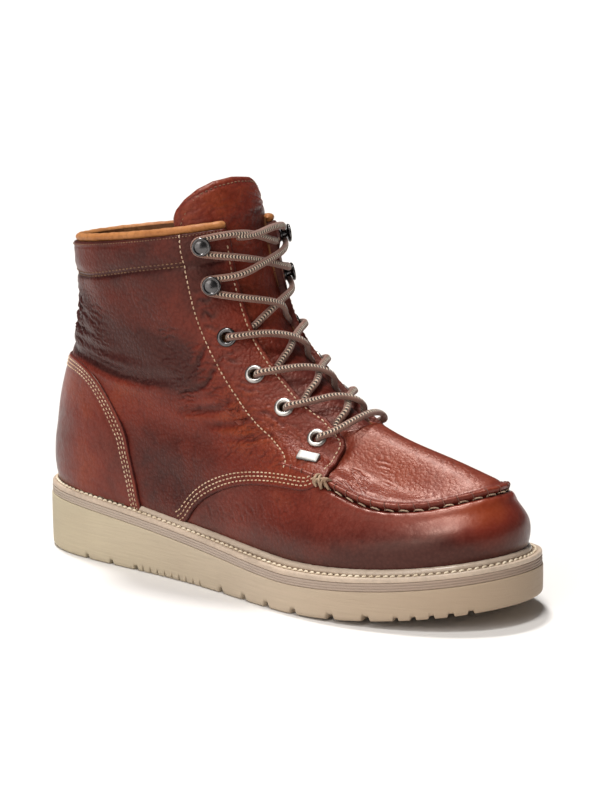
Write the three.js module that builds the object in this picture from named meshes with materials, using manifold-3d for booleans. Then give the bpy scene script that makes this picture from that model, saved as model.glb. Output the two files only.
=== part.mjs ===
// Wedge-sole lace-up work boot, right foot. Millimetres, +X toe, +Y medial side, +Z up.
// Origin: bottom centre of the bounding box of the sole.
import * as THREE from 'three';
import Module from 'manifold-3d';

// ---------------------------------------------------------------- named sizes
const SOLE_LEN = 308.9;          // outsole length
const HEEL_TOP = 33.76;          // midsole top above the floor at the heel
const BALL_TOP = 19.11;          // midsole top above the floor at the ball
const TOE_SPRING = 10.73;        // rise of the toe above the floor
const SPRING_FROM = 0.62;        // toe spring starts at this part of the length
const HEEL_LIFT = 1.5;           // small bevel rise at the very back of the heel
const MIDSOLE_T = 4.0;           // midsole strip
const GAP = 0.3;                 // clearance between neighbouring pieces
const WALL = 2.4;                // upper wall: leather and lining
const WALL_COLLAR = 3.0;         // upper wall at the collar
const WELT_TOP = 2.9;            // welt above midsole top
const BEAD_TOP = 6.1;            // storm bead above midsole top
const BINDING_H = 3.3;           // collar binding depth
const COUNTER_T = 1.5;           // heel counter thickness
const COUNTER_OFF = 1.1;         // its inner face above the upper, clear of the facets
const TONGUE_T = 3.4;            // tongue thickness
const INSOLE_T = 3.1;            // insole thickness
const LACE_R = 1.7;              // lace radius
const THROAT_HALF = 16.5;        // half width of the throat opening
const EYE_HOLE_R = 3.3;          // hole in the leather for an eyelet barrel
const GROOVE_D = 1.8;            // tread groove depth
const NU = 52;                   // stations round the boot

// outsole outline: t along the length, half width, each side
const LATERAL = [[.012, 16.8], [.045, 29.2], [.10, 37.1], [.20, 41.2], [.34, 43.4], [.48, 48.6], [.60, 55.8],
  [.71, 58.9], [.81, 54.5], [.89, 45.4], [.95, 32.9], [.985, 18.6]];
const MEDIAL = [[.995, 11.4], [.965, 29.1], [.91, 42.7], [.83, 51.6], [.73, 53.7], [.62, 48.7], [.50, 40.6],
  [.36, 38.1], [.22, 39.5], [.10, 37], [.045, 29.5], [.012, 17]];

// closed sections of the upper, from the feather line (first row) to the collar (last row)
// xb, xf: back and front ends   cB, cF: length of the rounded ends as a part of the section
// yF: sideways shift of the nose   lh lw lb / mh mw mb: lateral / medial half widths at heel, waist, ball
// k: 1 where heights are above the midsole top   dm: drop of the shoulders beside the front ridge
// zb z60 z120 zf: heights at the back, at a quarter, at three quarters and at the front
const COLS = ['xb', 'xf', 'cB', 'cF', 'yF', 'lh', 'lw', 'lb', 'mh', 'mw', 'mb', 'k', 'dm', 'zb', 'z60', 'z120', 'zf'];
const SECTIONS = [
  [-148.0, 144.5, .19, .29, 0.5, 33.6, 39.0, 50.0, 32.8, 33.0, 46.0, 1, 0, 0.3, 0.3, 0.3, 0.3],
  [-150.4, 147.6, .19, .29, 0.6, 35.2, 41.0, 52.5, 34.5, 34.5, 48.5, 1, 0, 8.5, 8.5, 8.5, 8.5],
  [-151.2, 147.8, .20, .29, 0.8, 35.8, 40.5, 52.5, 35.2, 35.0, 48.5, 1, 0, 18, 18, 18, 18],
  [-151.0, 143.2, .21, .30, 1.5, 35.8, 39.3, 48.5, 35.4, 35.0, 45.0, 1, 2.0, 26.5, 27, 28, 27],
  [-150.2, 137.4, .22, .31, 2.5, 35.4, 38.2, 43.0, 35.0, 35.0, 40.0, 0, 5.5, 67.5, 64, 61.0, 63.0],
  [-148.4, 129.0, .23, .32, 3.0, 34.8, 37.0, 38.5, 34.6, 35.0, 36.5, 0, 7.5, 79.5, 73, 67.0, 67.6],
  [-144.8, 107.5, .24, .33, 2.0, 34.0, 35.8, 35.5, 33.8, 34.5, 34.5, 0, 10.0, 92, 82, 73, 74.0],
  [-139.8, 82.0, .25, .34, 1.0, 33.6, 35.0, 34.0, 33.6, 34.2, 33.2, 0, 10.0, 105, 92, 80.2, 80.2],
  [-135.4, 58.2, .26, .34, 0.3, 33.8, 35.2, 34.2, 33.7, 34.4, 33.6, 0, 8.4, 117.5, 103, 88.6, 88.4],
  [-132.2, 37.3, .28, .35, 0.0, 34.4, 35.6, 34.6, 34.4, 35.0, 34.1, 0, 5.4, 128.5, 114, 99.3, 99.8],
  [-130.2, 19.0, .30, .36, 0.0, 35.0, 36.2, 35.0, 35.0, 35.8, 34.6, 0, 3.3, 138.5, 124.5, 111.7, 113.0],
  [-129.0, 3.8, .33, .37, 0.0, 35.8, 37.0, 35.2, 35.8, 36.7, 34.9, 0, 2.0, 148, 137, 126.3, 127.8],
  [-128.5, -6.5, .36, .37, 0.0, 36.6, 38.2, 36.8, 36.6, 37.8, 36.4, 0, 1.0, 157, 150, 143, 145.8],
  [-128.6, -13.8, .38, .38, 0.0, 37.4, 39.0, 37.8, 37.4, 38.6, 37.4, 0, 0, 165, 163, 163, 165.5],
  [-128.8, -18.0, .39, .38, 0.0, 38.0, 39.6, 38.0, 38.0, 39.2, 37.6, 0, 0, 171.5, 174.5, 181.5, 186.0],
];
const TOP = SECTIONS.length - 1;
// heel counter: section v and the half angle it reaches round the heel
const COUNTER = [[.86, 63.4], [2.2, 60.8], [3.8, 58.8], [5.25, 56.2], [6.5, 53.2], [7.0, 48.5], [7.28, 42]];
// tongue: section v and half angle either side of the ridge
const TONGUE = [[6.9, 33], [8, 37], [10, 45], [12, 53], [14, 58]];
// eyelets then hooks: angle round the boot and section v (lateral side; medial is mirrored)
const EYELETS = [[147.4, 8.10], [146.0, 9.08], [144.2, 10.12], [140.8, 11.2]];
const HOOKS = [[142.0, 12.5], [140.8, 13.47]];
const PLATE = [125.3, 6.75];     // side plate
// tread grooves: x position and width
const GROOVES = [[-104.8, 2.6], [-85.7, 2.6], [-67.1, 2.6], [-1.2, 3], [17.4, 3], [35.2, 3], [54.4, 3], [77.4, 3],
  [96.7, 3], [111.6, 2.2], [119.6, 2.2], [127.6, 2.2], [135.4, 2.2], [142.6, 2.2]];

// ---------------------------------------------------------------- small maths
const D2R = Math.PI / 180;
const clamp = (x, a, b) => Math.min(b, Math.max(a, x));
const smooth = x => { x = clamp(x, 0, 1); return x * x * (3 - 2 * x); };
const add = (a, b, s = 1) => [a[0] + b[0] * s, a[1] + b[1] * s, a[2] + b[2] * s];
const sub = (a, b) => [a[0] - b[0], a[1] - b[1], a[2] - b[2]];
const cross = (a, b) => [a[1] * b[2] - a[2] * b[1], a[2] * b[0] - a[0] * b[2], a[0] * b[1] - a[1] * b[0]];
const unit = a => { const l = Math.hypot(...a) || 1; return [a[0] / l, a[1] / l, a[2] / l]; };
const lerp = (tab, x) => {
  if (x <= tab[0][0]) return tab[0][1];
  for (let i = 1; i < tab.length; i++) if (x <= tab[i][0]) {
    const s = (x - tab[i - 1][0]) / (tab[i][0] - tab[i - 1][0]);
    return tab[i - 1][1] + s * (tab[i][1] - tab[i - 1][1]);
  }
  return tab[tab.length - 1][1];
};

// second derivatives of an interpolating cubic; natural, or periodic when loop is true
function cubic(xs, ys, loop = false) {
  const n = xs.length, A = [], m = loop ? n - 1 : n;
  for (let i = 0; i < m; i++) A.push(new Array(m + 1).fill(0));
  const h = i => xs[i + 1] - xs[i];
  if (!loop) {
    A[0][0] = 1; A[m - 1][m - 1] = 1;
    for (let i = 1; i < n - 1; i++) {
      A[i][i - 1] = h(i - 1); A[i][i] = 2 * (h(i - 1) + h(i)); A[i][i + 1] = h(i);
      A[i][m] = 6 * ((ys[i + 1] - ys[i]) / h(i) - (ys[i] - ys[i - 1]) / h(i - 1));
    }
  } else for (let i = 0; i < m; i++) {
    const p = (i + m - 1) % m, q = (i + 1) % m, hp = h(p), hi = h(i);
    A[i][p] += hp; A[i][i] += 2 * (hp + hi); A[i][q] += hi;
    A[i][m] = 6 * ((ys[i + 1] - ys[i]) / hi - (ys[i] - (i ? ys[i - 1] : ys[m - 1])) / hp);
  }
  for (let c = 0; c < m; c++) {
    let p = c;
    for (let r = c + 1; r < m; r++) if (Math.abs(A[r][c]) > Math.abs(A[p][c])) p = r;
    [A[c], A[p]] = [A[p], A[c]];
    for (let r = c + 1; r < m; r++) {
      const f = A[r][c] / A[c][c];
      if (f) for (let k = c; k <= m; k++) A[r][k] -= f * A[c][k];
    }
  }
  const M = new Array(m).fill(0);
  for (let c = m - 1; c >= 0; c--) {
    let s = A[c][m];
    for (let k = c + 1; k < m; k++) s -= A[c][k] * M[k];
    M[c] = s / A[c][c];
  }
  if (loop) M.push(M[0]);
  return x => {
    let i = 0;
    while (i < n - 2 && x > xs[i + 1]) i++;
    const hh = h(i), a = (xs[i + 1] - x) / hh, b = 1 - a;
    return a * ys[i] + b * ys[i + 1] + ((a * a * a - a) * M[i] + (b * b * b - b) * M[i + 1]) * hh * hh / 6;
  };
}

// ---------------------------------------------------------------- sole forms
const solePart = x => (x + SOLE_LEN / 2) / SOLE_LEN;
const spring = x => TOE_SPRING * clamp((solePart(x) - SPRING_FROM) / (1 - SPRING_FROM), 0, 1) ** 2;
function soleTop(x) {
  const s = clamp((solePart(x) - .05) / .6, 0, 1);
  return HEEL_TOP + (BALL_TOP - HEEL_TOP) * (.5 * s * s * (3 - 2 * s) + .5 * s) + spring(x);
}
const soleBottom = x => spring(x) + HEEL_LIFT * clamp((.10 - solePart(x)) / .10, 0, 1) ** 2;
const angleOf = t => Math.acos(1 - 2 * t);
const outlineKnots = [[0, 0], ...LATERAL.map(([t, w]) => [angleOf(t), -w]), [Math.PI, .2],
  ...MEDIAL.map(([t, w]) => [2 * Math.PI - angleOf(t), w]), [2 * Math.PI, 0]];
const outlineY = cubic(outlineKnots.map(k => k[0]), outlineKnots.map(k => k[1]), true);
const outlineAt = th => [-SOLE_LEN / 2 + SOLE_LEN * (1 - Math.cos(th)) / 2, outlineY(((th % (2 * Math.PI)) + 2 * Math.PI) % (2 * Math.PI))];
function outlineIn(th, inset) {
  const e = .01, a = outlineAt(th - e), b = outlineAt(th + e), p = outlineAt(th);
  const l = Math.hypot(b[0] - a[0], b[1] - a[1]) || 1;
  // the outline runs back, lateral, toe, medial: the inward side is on its left
  return [p[0] - (b[1] - a[1]) / l * inset, p[1] + (b[0] - a[0]) / l * inset];
}

// ---------------------------------------------------------------- upper form
const colSpline = COLS.map((_, c) => cubic(SECTIONS.map((_, i) => i), SECTIONS.map(r => r[c])));
function halfWidth(f, a, b, c) {
  if (f <= .15) return a;
  if (f >= .75) return c;
  const m = (c - a) / .6, hm = (s, p0, p1, m0, m1) => (2 * s ** 3 - 3 * s ** 2 + 1) * p0 + (s ** 3 - 2 * s ** 2 + s) * .3 * m0
    + (3 * s ** 2 - 2 * s ** 3) * p1 + (s ** 3 - s ** 2) * .3 * m1;
  return f < .45 ? hm((f - .15) / .3, a, b, 0, m) : hm((f - .45) / .3, b, c, m, 0);
}
const NOSE = 2.3;                // exponent of the rounded ends
function form(th, v) {
  const c = {}; COLS.forEach((n, i) => { c[n] = colSpline[i](v); });
  th = ((th % (2 * Math.PI)) + 2 * Math.PI) % (2 * Math.PI);
  const co = Math.cos(th), f = (1 - co) / 2, x = c.xb + (c.xf - c.xb) * f;
  const sB = clamp(1 - f / c.cB, 0, 1), sF = clamp(1 - (1 - f) / c.cF, 0, 1);
  const cap = Math.sqrt(clamp(1 - sB ** NOSE, 0, 1) * clamp(1 - sF ** NOSE, 0, 1));
  const w = th < Math.PI ? -halfWidth(f, c.lh, c.lw, c.lb) : halfWidth(f, c.mh, c.mw, c.mb);
  const y = c.yF * smooth((f - .6) / .4) + w * cap;
  const a0 = (c.zb + 2 * c.z60 + 2 * c.z120 + c.zf) / 6, a1 = (c.zb + c.z60 - c.z120 - c.zf) / 3;
  const a2 = (c.zb - c.z60 - c.z120 + c.zf) / 3, a3 = (c.zb - 2 * c.z60 + 2 * c.z120 - c.zf) / 6;
  const shoulder = -(co * co - 1) * (co * co - .25) * ((1 - co) / 2) ** 3 / .1015;
  const z = a0 + a1 * co + a2 * Math.cos(2 * th) + a3 * Math.cos(3 * th) - c.dm * shoulder + c.k * soleTop(x);
  return [x, y, z];
}
const along = (th, v) => unit(sub(form(th, v + .01), form(th, v - .01)));    // up the boot
const around = (th, v) => unit(sub(form(th + .01, v), form(th - .01, v)));   // round the boot
const normal = (th, v) => unit(cross(around(th, v), along(th, v)));          // outward
const off = (th, v, d) => add(form(th, v), normal(th, v), d);

// ---------------------------------------------------------------- mesh builders
const wasm = await Module(); wasm.setup();
const { Manifold, Mesh } = wasm;
function solid(P, T) {
  // signed volume decides the facing
  let vol = 0;
  for (const [a, b, c] of T) { const q = cross(P[b], P[c]); vol += P[a][0] * q[0] + P[a][1] * q[1] + P[a][2] * q[2]; }
  if (vol < 0) T = T.map(([a, b, c]) => [a, c, b]);
  return new Manifold(new Mesh({ numProp: 3, vertProperties: new Float32Array(P.flat()), triVerts: new Uint32Array(T.flat()) }));
}
// rows of points; wrapU closes each row, wrapV joins the last row to the first, otherwise ends are capped
function loft(rows, wrapV = false) {
  const n = rows[0].length, m = rows.length, P = rows.flat(), T = [];
  for (let j = 0; j < (wrapV ? m : m - 1); j++) for (let i = 0; i < n; i++) {
    const a = j * n + i, b = j * n + (i + 1) % n, c = ((j + 1) % m) * n + (i + 1) % n, d = ((j + 1) % m) * n + i;
    T.push([a, b, c], [a, c, d]);
  }
  if (!wrapV) for (const [j, flip] of [[0, true], [m - 1, false]]) {
    const base = j * n, put = (a, b, c) => T.push(flip ? [base + c, base + b, base + a] : [base + a, base + b, base + c]);
    // strips between point i and its mirror n-i
    put(0, 1, n - 1);
    for (let i = 1; i < n / 2 - 1; i++) { put(i, i + 1, n - i); put(i + 1, n - i - 1, n - i); }
    if (n % 2 === 0) put(n / 2 - 1, n / 2, n / 2 + 1);
  }
  return solid(P, T);
}
// a patch given by outer and inner grids, closed round its edge
function shell(outer, inner) {
  const m = outer.length, n = outer[0].length, P = [...outer.flat(), ...inner.flat()], T = [], k = m * n;
  const q = (a, b, c, d) => T.push([a, b, c], [a, c, d]);
  for (let j = 0; j < m - 1; j++) for (let i = 0; i < n - 1; i++) {
    const a = j * n + i;
    q(a, a + 1, a + n + 1, a + n);
    q(k + a + n, k + a + n + 1, k + a + 1, k + a);
  }
  for (let i = 0; i < n - 1; i++) { q(i + 1, i, k + i, k + i + 1); const a = (m - 1) * n + i; q(a, a + 1, k + a + 1, k + a); }
  for (let j = 0; j < m - 1; j++) { const a = j * n; q(a, a + n, k + a + n, k + a); const b = a + n - 1; q(b + n, b, k + b, k + b + n); }
  return solid(P, T);
}
// closed section swept along frames, ends capped by fans
function sweep(sections) {
  const n = sections[0].length, m = sections.length, P = sections.flat(), T = [];
  for (let j = 0; j < m - 1; j++) for (let i = 0; i < n; i++) {
    const a = j * n + i, b = j * n + (i + 1) % n;
    T.push([a, b, b + n], [a, b + n, a + n]);
  }
  for (let i = 1; i < n - 1; i++) { T.push([0, i + 1, i]); const b = (m - 1) * n; T.push([b, b + i, b + i + 1]); }
  return solid(P, T);
}
function cord(path, r, sides = 6) {
  let side = [0, 0, 1];
  return sweep(path.map((p, i) => {
    const t = unit(sub(path[Math.min(i + 1, path.length - 1)], path[Math.max(i - 1, 0)]));
    side = unit(cross(cross(t, side), t));
    const s2 = cross(t, side), out = [];
    for (let k = 0; k < sides; k++) {
      const a = 2 * Math.PI * k / sides;
      out.push(add(add(p, side, r * Math.cos(a)), s2, r * Math.sin(a)));
    }
    return out;
  }));
}
// profile of (radius, height) turned about a local axis; a radius of 0 closes the end
function lathe(profile, centre, axis, seg = 10) {
  const n = unit(axis), e1 = unit(cross(n, [0, 0, 1])), e2 = cross(n, e1), rows = [];
  const ring = (r, h) => Array.from({ length: seg }, (_, k) => {
    const a = 2 * Math.PI * k / seg;
    return add(add(add(centre, n, h), e1, r * Math.cos(a)), e2, r * Math.sin(a));
  });
  for (const [r, h] of profile) rows.push(ring(r, h));
  return rows;
}
const ringSolid = (profile, c, a, seg) => loft(lathe(profile, c, a, seg), true);
const knobSolid = (profile, c, a, seg) => sweep(lathe(profile, c, a, seg));

const parts = [];
function put(name, man, color, roughness = .7, metalness = 0) {
  const g = man.getMesh(), np = g.numProp, pos = new Float32Array(g.triVerts.length * 3);
  g.triVerts.forEach((v, i) => { for (let k = 0; k < 3; k++) pos[i * 3 + k] = g.vertProperties[v * np + k]; });
  const geo = new THREE.BufferGeometry();
  geo.setAttribute('position', new THREE.BufferAttribute(pos, 3));
  geo.computeVertexNormals();
  const mesh = new THREE.Mesh(geo, new THREE.MeshStandardMaterial({ color, roughness, metalness }));
  mesh.name = name;
  parts.push(mesh);
}
const TH = Array.from({ length: NU }, (_, i) => 2 * Math.PI * i / NU);

// ---------------------------------------------------------------- sole
const slab = (inset, bottom, top) => loft([TH.map(t => { const [x, y] = outlineIn(t, inset); return [x, y, bottom(x)]; }),
  TH.map(t => { const [x, y] = outlineIn(t, inset); return [x, y, top(x)]; })]);
let outsole = slab(0, soleBottom, x => soleTop(x) - MIDSOLE_T - GAP);
const cutters = GROOVES.map(([x, w]) => Manifold.cube([w, 140, 6], true).translate([x, 0, soleBottom(x) + GROOVE_D - 3]));
outsole = outsole.subtract(Manifold.union(cutters));
put('outsole', outsole, 0xd8c6a6, .85);
put('midsole', slab(.35, x => soleTop(x) - MIDSOLE_T, soleTop), 0xb9a698, .8);

const weltRows = [
  t => { const [x, y] = outlineIn(t, .8); return [x, y, soleTop(x) + GAP]; },
  t => { const [x, y] = outlineIn(t, .8); return [x, y, soleTop(x) + WELT_TOP]; },
  t => { const p = off(t, .3, 3.3); return [p[0], p[1], soleTop(p[0]) + WELT_TOP]; },
  t => { const p = off(t, .5, 3.2); return [p[0], p[1], soleTop(p[0]) + 4.7]; },
  t => { const p = off(t, .66, 1.9); return [p[0], p[1], soleTop(p[0]) + BEAD_TOP]; },
  t => off(t, .62, GAP + .1),
  t => { const p = off(t, 0, GAP + .1); return [p[0], p[1], soleTop(p[0]) + GAP]; },
].map(fn => TH.map(fn));
put('welt', loft(weltRows, true), 0xcdb497, .6);

const insoleRow = h => TH.map(t => { const p = off(t, .02, -(WALL + GAP + .3)); return [p[0], p[1], soleTop(p[0]) + h]; });
put('insole', loft([insoleRow(GAP + .1), insoleRow(GAP + INSOLE_T)]), 0xc39a63, .9);

// ---------------------------------------------------------------- upper
const rimV = th => { const l = Math.hypot(...sub(form(th, TOP), form(th, TOP - .1))) / .1; return TOP - BINDING_H / l; };
const ROWS = [0, .6, 1.3, 2, 2.7, 3.4, 4, 4.6, 5.3, 6.2, 7.1, 8, 9, 10, 11, 12, 13, 14];
const rowV = (th, v) => v <= 12 ? v : 12 + (v - 12) / (TOP - 12) * (rimV(th) - 12);
const wallAt = v => WALL + (WALL_COLLAR - WALL) * smooth((v - 11) / 3);
const outerRows = ROWS.map(v => TH.map(t => form(t, rowV(t, v))));
const innerRows = ROWS.map(v => TH.map(t => {
  const p = off(t, rowV(t, v), -wallAt(v));
  if (v === 0) p[2] = soleTop(p[0]) + GAP;
  return p;
})).reverse();
let upper = loft([...outerRows, ...innerRows], true);
// throat: an upright prism, rounded at its front end
const THROAT = [[60.5, 0], [59.5, 6], [56.5, 11.5], [51, 15.2], [42, THROAT_HALF], [-60, THROAT_HALF + 1]];
const throatLoop = z => [...THROAT.map(([x, y]) => [x, -y, z]), ...THROAT.slice(1).reverse().map(([x, y]) => [x, y, z])];
upper = upper.subtract(loft([throatLoop(66), throatLoop(230)]));
const mirror = th => 360 - th;
const fittings = [];
EYELETS.forEach(([th, v], i) => { fittings.push(['eyelet_lat_' + (i + 1), th, v, 'eye'], ['eyelet_med_' + (i + 1), mirror(th), v, 'eye']); });
HOOKS.forEach(([th, v], i) => { fittings.push(['hook_lat_' + (i + 5), th, v, 'hook'], ['hook_med_' + (i + 5), mirror(th), v, 'hook']); });
for (const [, th, v, kind] of fittings) if (kind === 'eye') {
  const c = form(th * D2R, v), n = normal(th * D2R, v);
  upper = upper.subtract(knobSolid([[EYE_HOLE_R, -5], [EYE_HOLE_R, 3]], c, n, 10));
}
put('upper', upper, 0x7a3524, .55);

// ---------------------------------------------------------------- heel counter
const counterGrid = d => Array.from({ length: 9 }, (_, j) => {
  const v = COUNTER[0][0] + (COUNTER[COUNTER.length - 1][0] - COUNTER[0][0]) * j / 8, half = lerp(COUNTER, v);
  return Array.from({ length: 15 }, (_, i) => off((i / 7 - 1) * half * D2R, v, d));
});
put('heel_counter', shell(counterGrid(COUNTER_OFF + COUNTER_T), counterGrid(COUNTER_OFF)), 0x7d3726, .5);

// ---------------------------------------------------------------- collar binding
let slotTh = Math.PI;
while (Math.abs(form(slotTh, TOP)[1]) < THROAT_HALF + 1.6) slotTh -= .002;
const BIND_N = 44;
put('collar_binding', sweep(Array.from({ length: BIND_N + 1 }, (_, i) => {
  const th = -slotTh + 2 * slotTh * i / BIND_N, v0 = rimV(th), up = along(th, TOP), out = normal(th, TOP);
  const base = add(form(th, v0), up, GAP), top = form(th, TOP);
  return [add(base, out, .5), add(add(top, up, -.9), out, .5), add(top, out, -.6), add(top, out, -2.7),
    add(add(top, up, -.9), out, -3.6), add(base, out, -3.6)];
})), 0xb07a3e, .65);

// ---------------------------------------------------------------- tongue
const TONGUE_TOP = [[0, 23.5], [.35, 22.6], [.6, 19.8], [.8, 15.5], [.93, 10.5], [1, 5]];   // rise above the collar section across the width
const tongueGrid = depth => {
  const rows = [];
  for (let j = 0; j <= 11; j++) {
    const v = TONGUE[0][0] + (TOP - TONGUE[0][0]) * j / 11, half = lerp(TONGUE, v), d = WALL + .7 + 1.5 * smooth((v - 11.5) / 2);
    rows.push(Array.from({ length: 13 }, (_, i) => off(Math.PI + (i / 6 - 1) * half * D2R, v, -(d + depth))));
  }
  const last = rows[rows.length - 1];
  for (const s of [.34, .68, 1]) rows.push(last.map((p, i) => {
    const w = Math.abs(i / 6 - 1), h = s * lerp(TONGUE_TOP, w), thin = (s === 1 ? 1 : 0) * (depth > 0 ? .9 : -.4) * .8;
    return [p[0] - .36 * h * (1 - .45 * w) + thin * .8, p[1] * (1 - .05 * s * w), p[2] + .93 * h];
  }));
  return rows;
};
put('tongue', shell(tongueGrid(0), tongueGrid(TONGUE_T)), 0x7e3a28, .6);

// ---------------------------------------------------------------- fittings
const EYELET = [[2.35, -2.1], [2.9, -2.1], [2.9, .75], [4.75, .75], [4.6, 1.25], [3.7, 1.6], [2.5, 1.3]];
const HOOK = [[4.1, .5], [4.1, .9], [2.0, 1.15], [2.0, 4.9], [5.0, 5.0], [4.7, 6.1], [2.6, 7.1]];
for (const [name, th, v, kind] of fittings) {
  const c = form(th * D2R, v), n = normal(th * D2R, v);
  if (kind === 'eye') put(name, ringSolid(EYELET, c, n, 9), 0xc9c7c2, .3, 1);
  else put(name, knobSolid(HOOK, c, n, 9), 0x6b6662, .35, 1);
}
{
  const th = PLATE[0] * D2R, v = PLATE[1], n = normal(th, v), u = around(th, v), w = cross(n, u), c = add(form(th, v), n, .95);
  const corner = (a, b, h) => add(add(add(c, u, a), w, b), n, h);
  const loop = (s, h) => [[-5.9, 0], [-5.6, -2.9], [5.6, -2.9], [5.9, 0], [5.6, 2.9], [-5.6, 2.9]].map(([a, b]) => corner(a * s, b * s, h));
  put('side_plate', sweep([loop(1, 0), loop(1, .8), loop(.9, 1.2)]), 0xb9b6b0, .35, 1);
}

// ---------------------------------------------------------------- lace
// a strand follows the form: each station is an angle from the ridge (lateral negative), a section v and a height
function strand(stations, step = 5) {
  const P = stations.map(([a, v, h]) => off(Math.PI + a * D2R, v, h)), out = [];
  const n = P.length, s = P.map((_, i) => i), f = [0, 1, 2].map(k => cubic(s, P.map(p => p[k])));
  for (let i = 0; i <= (n - 1) * step; i++) out.push(f.map(g => g(i / step)));
  return out;
}
const E = EYELETS.map(([th, v]) => [180 - th, v]), H = HOOKS.map(([th, v]) => [180 - th, v]);
const ON = GAP + 1.3 + GAP + LACE_R + .5;         // height of a strand that lies on an eyelet
const overEdge = (n, s) => [s * E[n][0] * .62, E[n][1] + .02, 2.7];
put('lace_bar', cord(strand([[-E[0][0], E[0][1], ON], [-E[0][0] * .6, E[0][1] - .02, 2.9], [0, E[0][1] - .03, 1.9],
  [E[0][0] * .6, E[0][1] - .02, 2.9], [E[0][0], E[0][1], ON]], 3), LACE_R), 0xa98b78, .9);
for (let n = 0; n < 3; n++) {
  const one = s => cord(strand([[-s * 17, E[n][1] + .16, -.3], [-s * 9, (E[n][1] * 2 + E[n + 1][1]) / 3 + .1, .9],
    [s * 3, (E[n][1] + E[n + 1][1] * 1.6) / 2.6, 1.7], [s * E[n + 1][0] * .62, E[n + 1][1] - .06, 2.9], [s * E[n + 1][0], E[n + 1][1], ON]], 3), LACE_R);
  put('lace_cross_' + (n + 1), one(1).add(one(-1)), 0xa98b78, .9);
}
// strands over the hooks: round the outer side of a stem, then across
const AROUND = LACE_R + 2.0 + GAP + .25;
function hookTurn(k, s) {
  const th = (180 + s * H[k][0]) * D2R, v = H[k][1], c = add(form(th, v), normal(th, v), 1.15 + GAP + LACE_R);
  const u = along(th, v), w = around(th, v);
  // below, outer side, above the stem
  return [-70, -25, 20, 65].map(a => { const r = a * D2R; return add(add(c, u, AROUND * Math.sin(r)), w, s * AROUND * Math.cos(r)); });
}
function hookStrand(s) {
  const at = (a, v, h) => off(Math.PI + a * D2R, v, h);
  const P = [at(-s * 16, E[3][1] + .14, -.3), at(-s * 6, 11.55, 1.2), at(s * 8, 11.85, 2.0), at(s * 24, 12.1, 2.6), ...hookTurn(0, s),
    at(s * 22, 12.62, 2.8), at(0, 12.85, 2.2), at(-s * 22, 13.1, 2.8), ...hookTurn(1, -s),
    at(-s * 20, 13.66, 2.8), at(s * 2, 13.6, 2.2), at(s * 15, 13.5, 2.0)];
  const k = P.map((_, i) => i), f = [0, 1, 2].map(c => cubic(k, P.map(p => p[c]))), out = [];
  for (let i = 0; i <= (P.length - 1) * 2; i++) out.push(f.map(g => g(i / 2)));
  return cord(out, LACE_R);
}
put('lace_hooks', hookStrand(1).add(hookStrand(-1)), 0xa98b78, .9);

const boot = new THREE.Group();
boot.name = 'work_boot';
boot.position.y = 2.475;                          // the sole's box is centred on the origin
parts.forEach(m => boot.add(m));
export default boot;
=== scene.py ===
"""Wedge sole work boot, right foot: the looks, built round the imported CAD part. Millimetres inside, metres in the meshes."""

import bpy
import math
import numpy as np
from mathutils import Matrix, Vector
from mathutils.bvhtree import BVHTree


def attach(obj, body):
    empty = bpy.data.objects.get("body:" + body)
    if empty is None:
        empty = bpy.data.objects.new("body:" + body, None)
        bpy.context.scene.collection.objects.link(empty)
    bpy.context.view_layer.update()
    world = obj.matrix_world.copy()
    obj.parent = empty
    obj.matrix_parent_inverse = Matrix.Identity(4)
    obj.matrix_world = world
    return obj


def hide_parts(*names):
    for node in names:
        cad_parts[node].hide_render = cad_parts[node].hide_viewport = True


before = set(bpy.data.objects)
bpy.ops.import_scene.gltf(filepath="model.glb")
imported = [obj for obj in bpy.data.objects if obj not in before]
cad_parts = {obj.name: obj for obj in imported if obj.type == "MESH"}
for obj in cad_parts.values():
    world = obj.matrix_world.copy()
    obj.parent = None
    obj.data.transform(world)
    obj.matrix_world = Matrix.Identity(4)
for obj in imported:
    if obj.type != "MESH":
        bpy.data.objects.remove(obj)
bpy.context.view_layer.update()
Y0 = 2.475  # the sole's box is centred on the origin
PI, D2R = math.pi, math.pi / 180


# ---------------------------------------------------------------- splines and the surface
class Spline:
    """Cubic through (x, y); natural ends, or periodic."""

    def __init__(self, x, y, periodic=False):
        self.x, self.y = np.asarray(x, float), np.asarray(y, float)
        n, h = len(self.x), np.diff(self.x)
        d = (np.diff(self.y, axis=0).T / h).T
        A, b = np.zeros((n, n)), np.zeros_like(self.y)
        for i in range(1, n - 1):
            A[i, i - 1], A[i, i], A[i, i + 1] = h[i - 1], 2 * (h[i - 1] + h[i]), h[i]
            b[i] = 6 * (d[i] - d[i - 1])
        if periodic:
            A[0, 0], A[0, 1], A[0, n - 2] = 2 * (h[-1] + h[0]), h[0], h[-1]
            b[0] = 6 * (d[0] - d[-1])
            A[n - 1, n - 1], A[n - 1, 0] = 1, -1
        else:
            A[0, 0] = A[n - 1, n - 1] = 1
        self.m, self.h = np.linalg.solve(A, b), h

    def __call__(self, t):
        t = np.asarray(t, float)
        i = np.clip(np.searchsorted(self.x, t, "right") - 1, 0, len(self.h) - 1)
        h = self.h[i]
        a, b = (self.x[i + 1] - t) / h, (t - self.x[i]) / h
        if self.y.ndim > 1:
            a, b, h = a[..., None], b[..., None], h[..., None]
        return a * self.y[i] + b * self.y[i + 1] + ((a**3 - a) * self.m[i] + (b**3 - b) * self.m[i + 1]) * h * h / 6


def smooth(u):
    u = np.clip(u, 0, 1)
    return u * u * (3 - 2 * u)


SOLE_LEN = 308.9


def spring(t):
    return 10.73 * np.clip((t - 0.62) / 0.38, 0, 1) ** 2


def sole_top(x):
    t = (x + SOLE_LEN / 2) / SOLE_LEN
    s = np.clip((t - 0.05) / 0.6, 0, 1)
    return 33.76 + (19.11 - 33.76) * (0.5 * s * s * (3 - 2 * s) + 0.5 * s) + spring(t)


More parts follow.
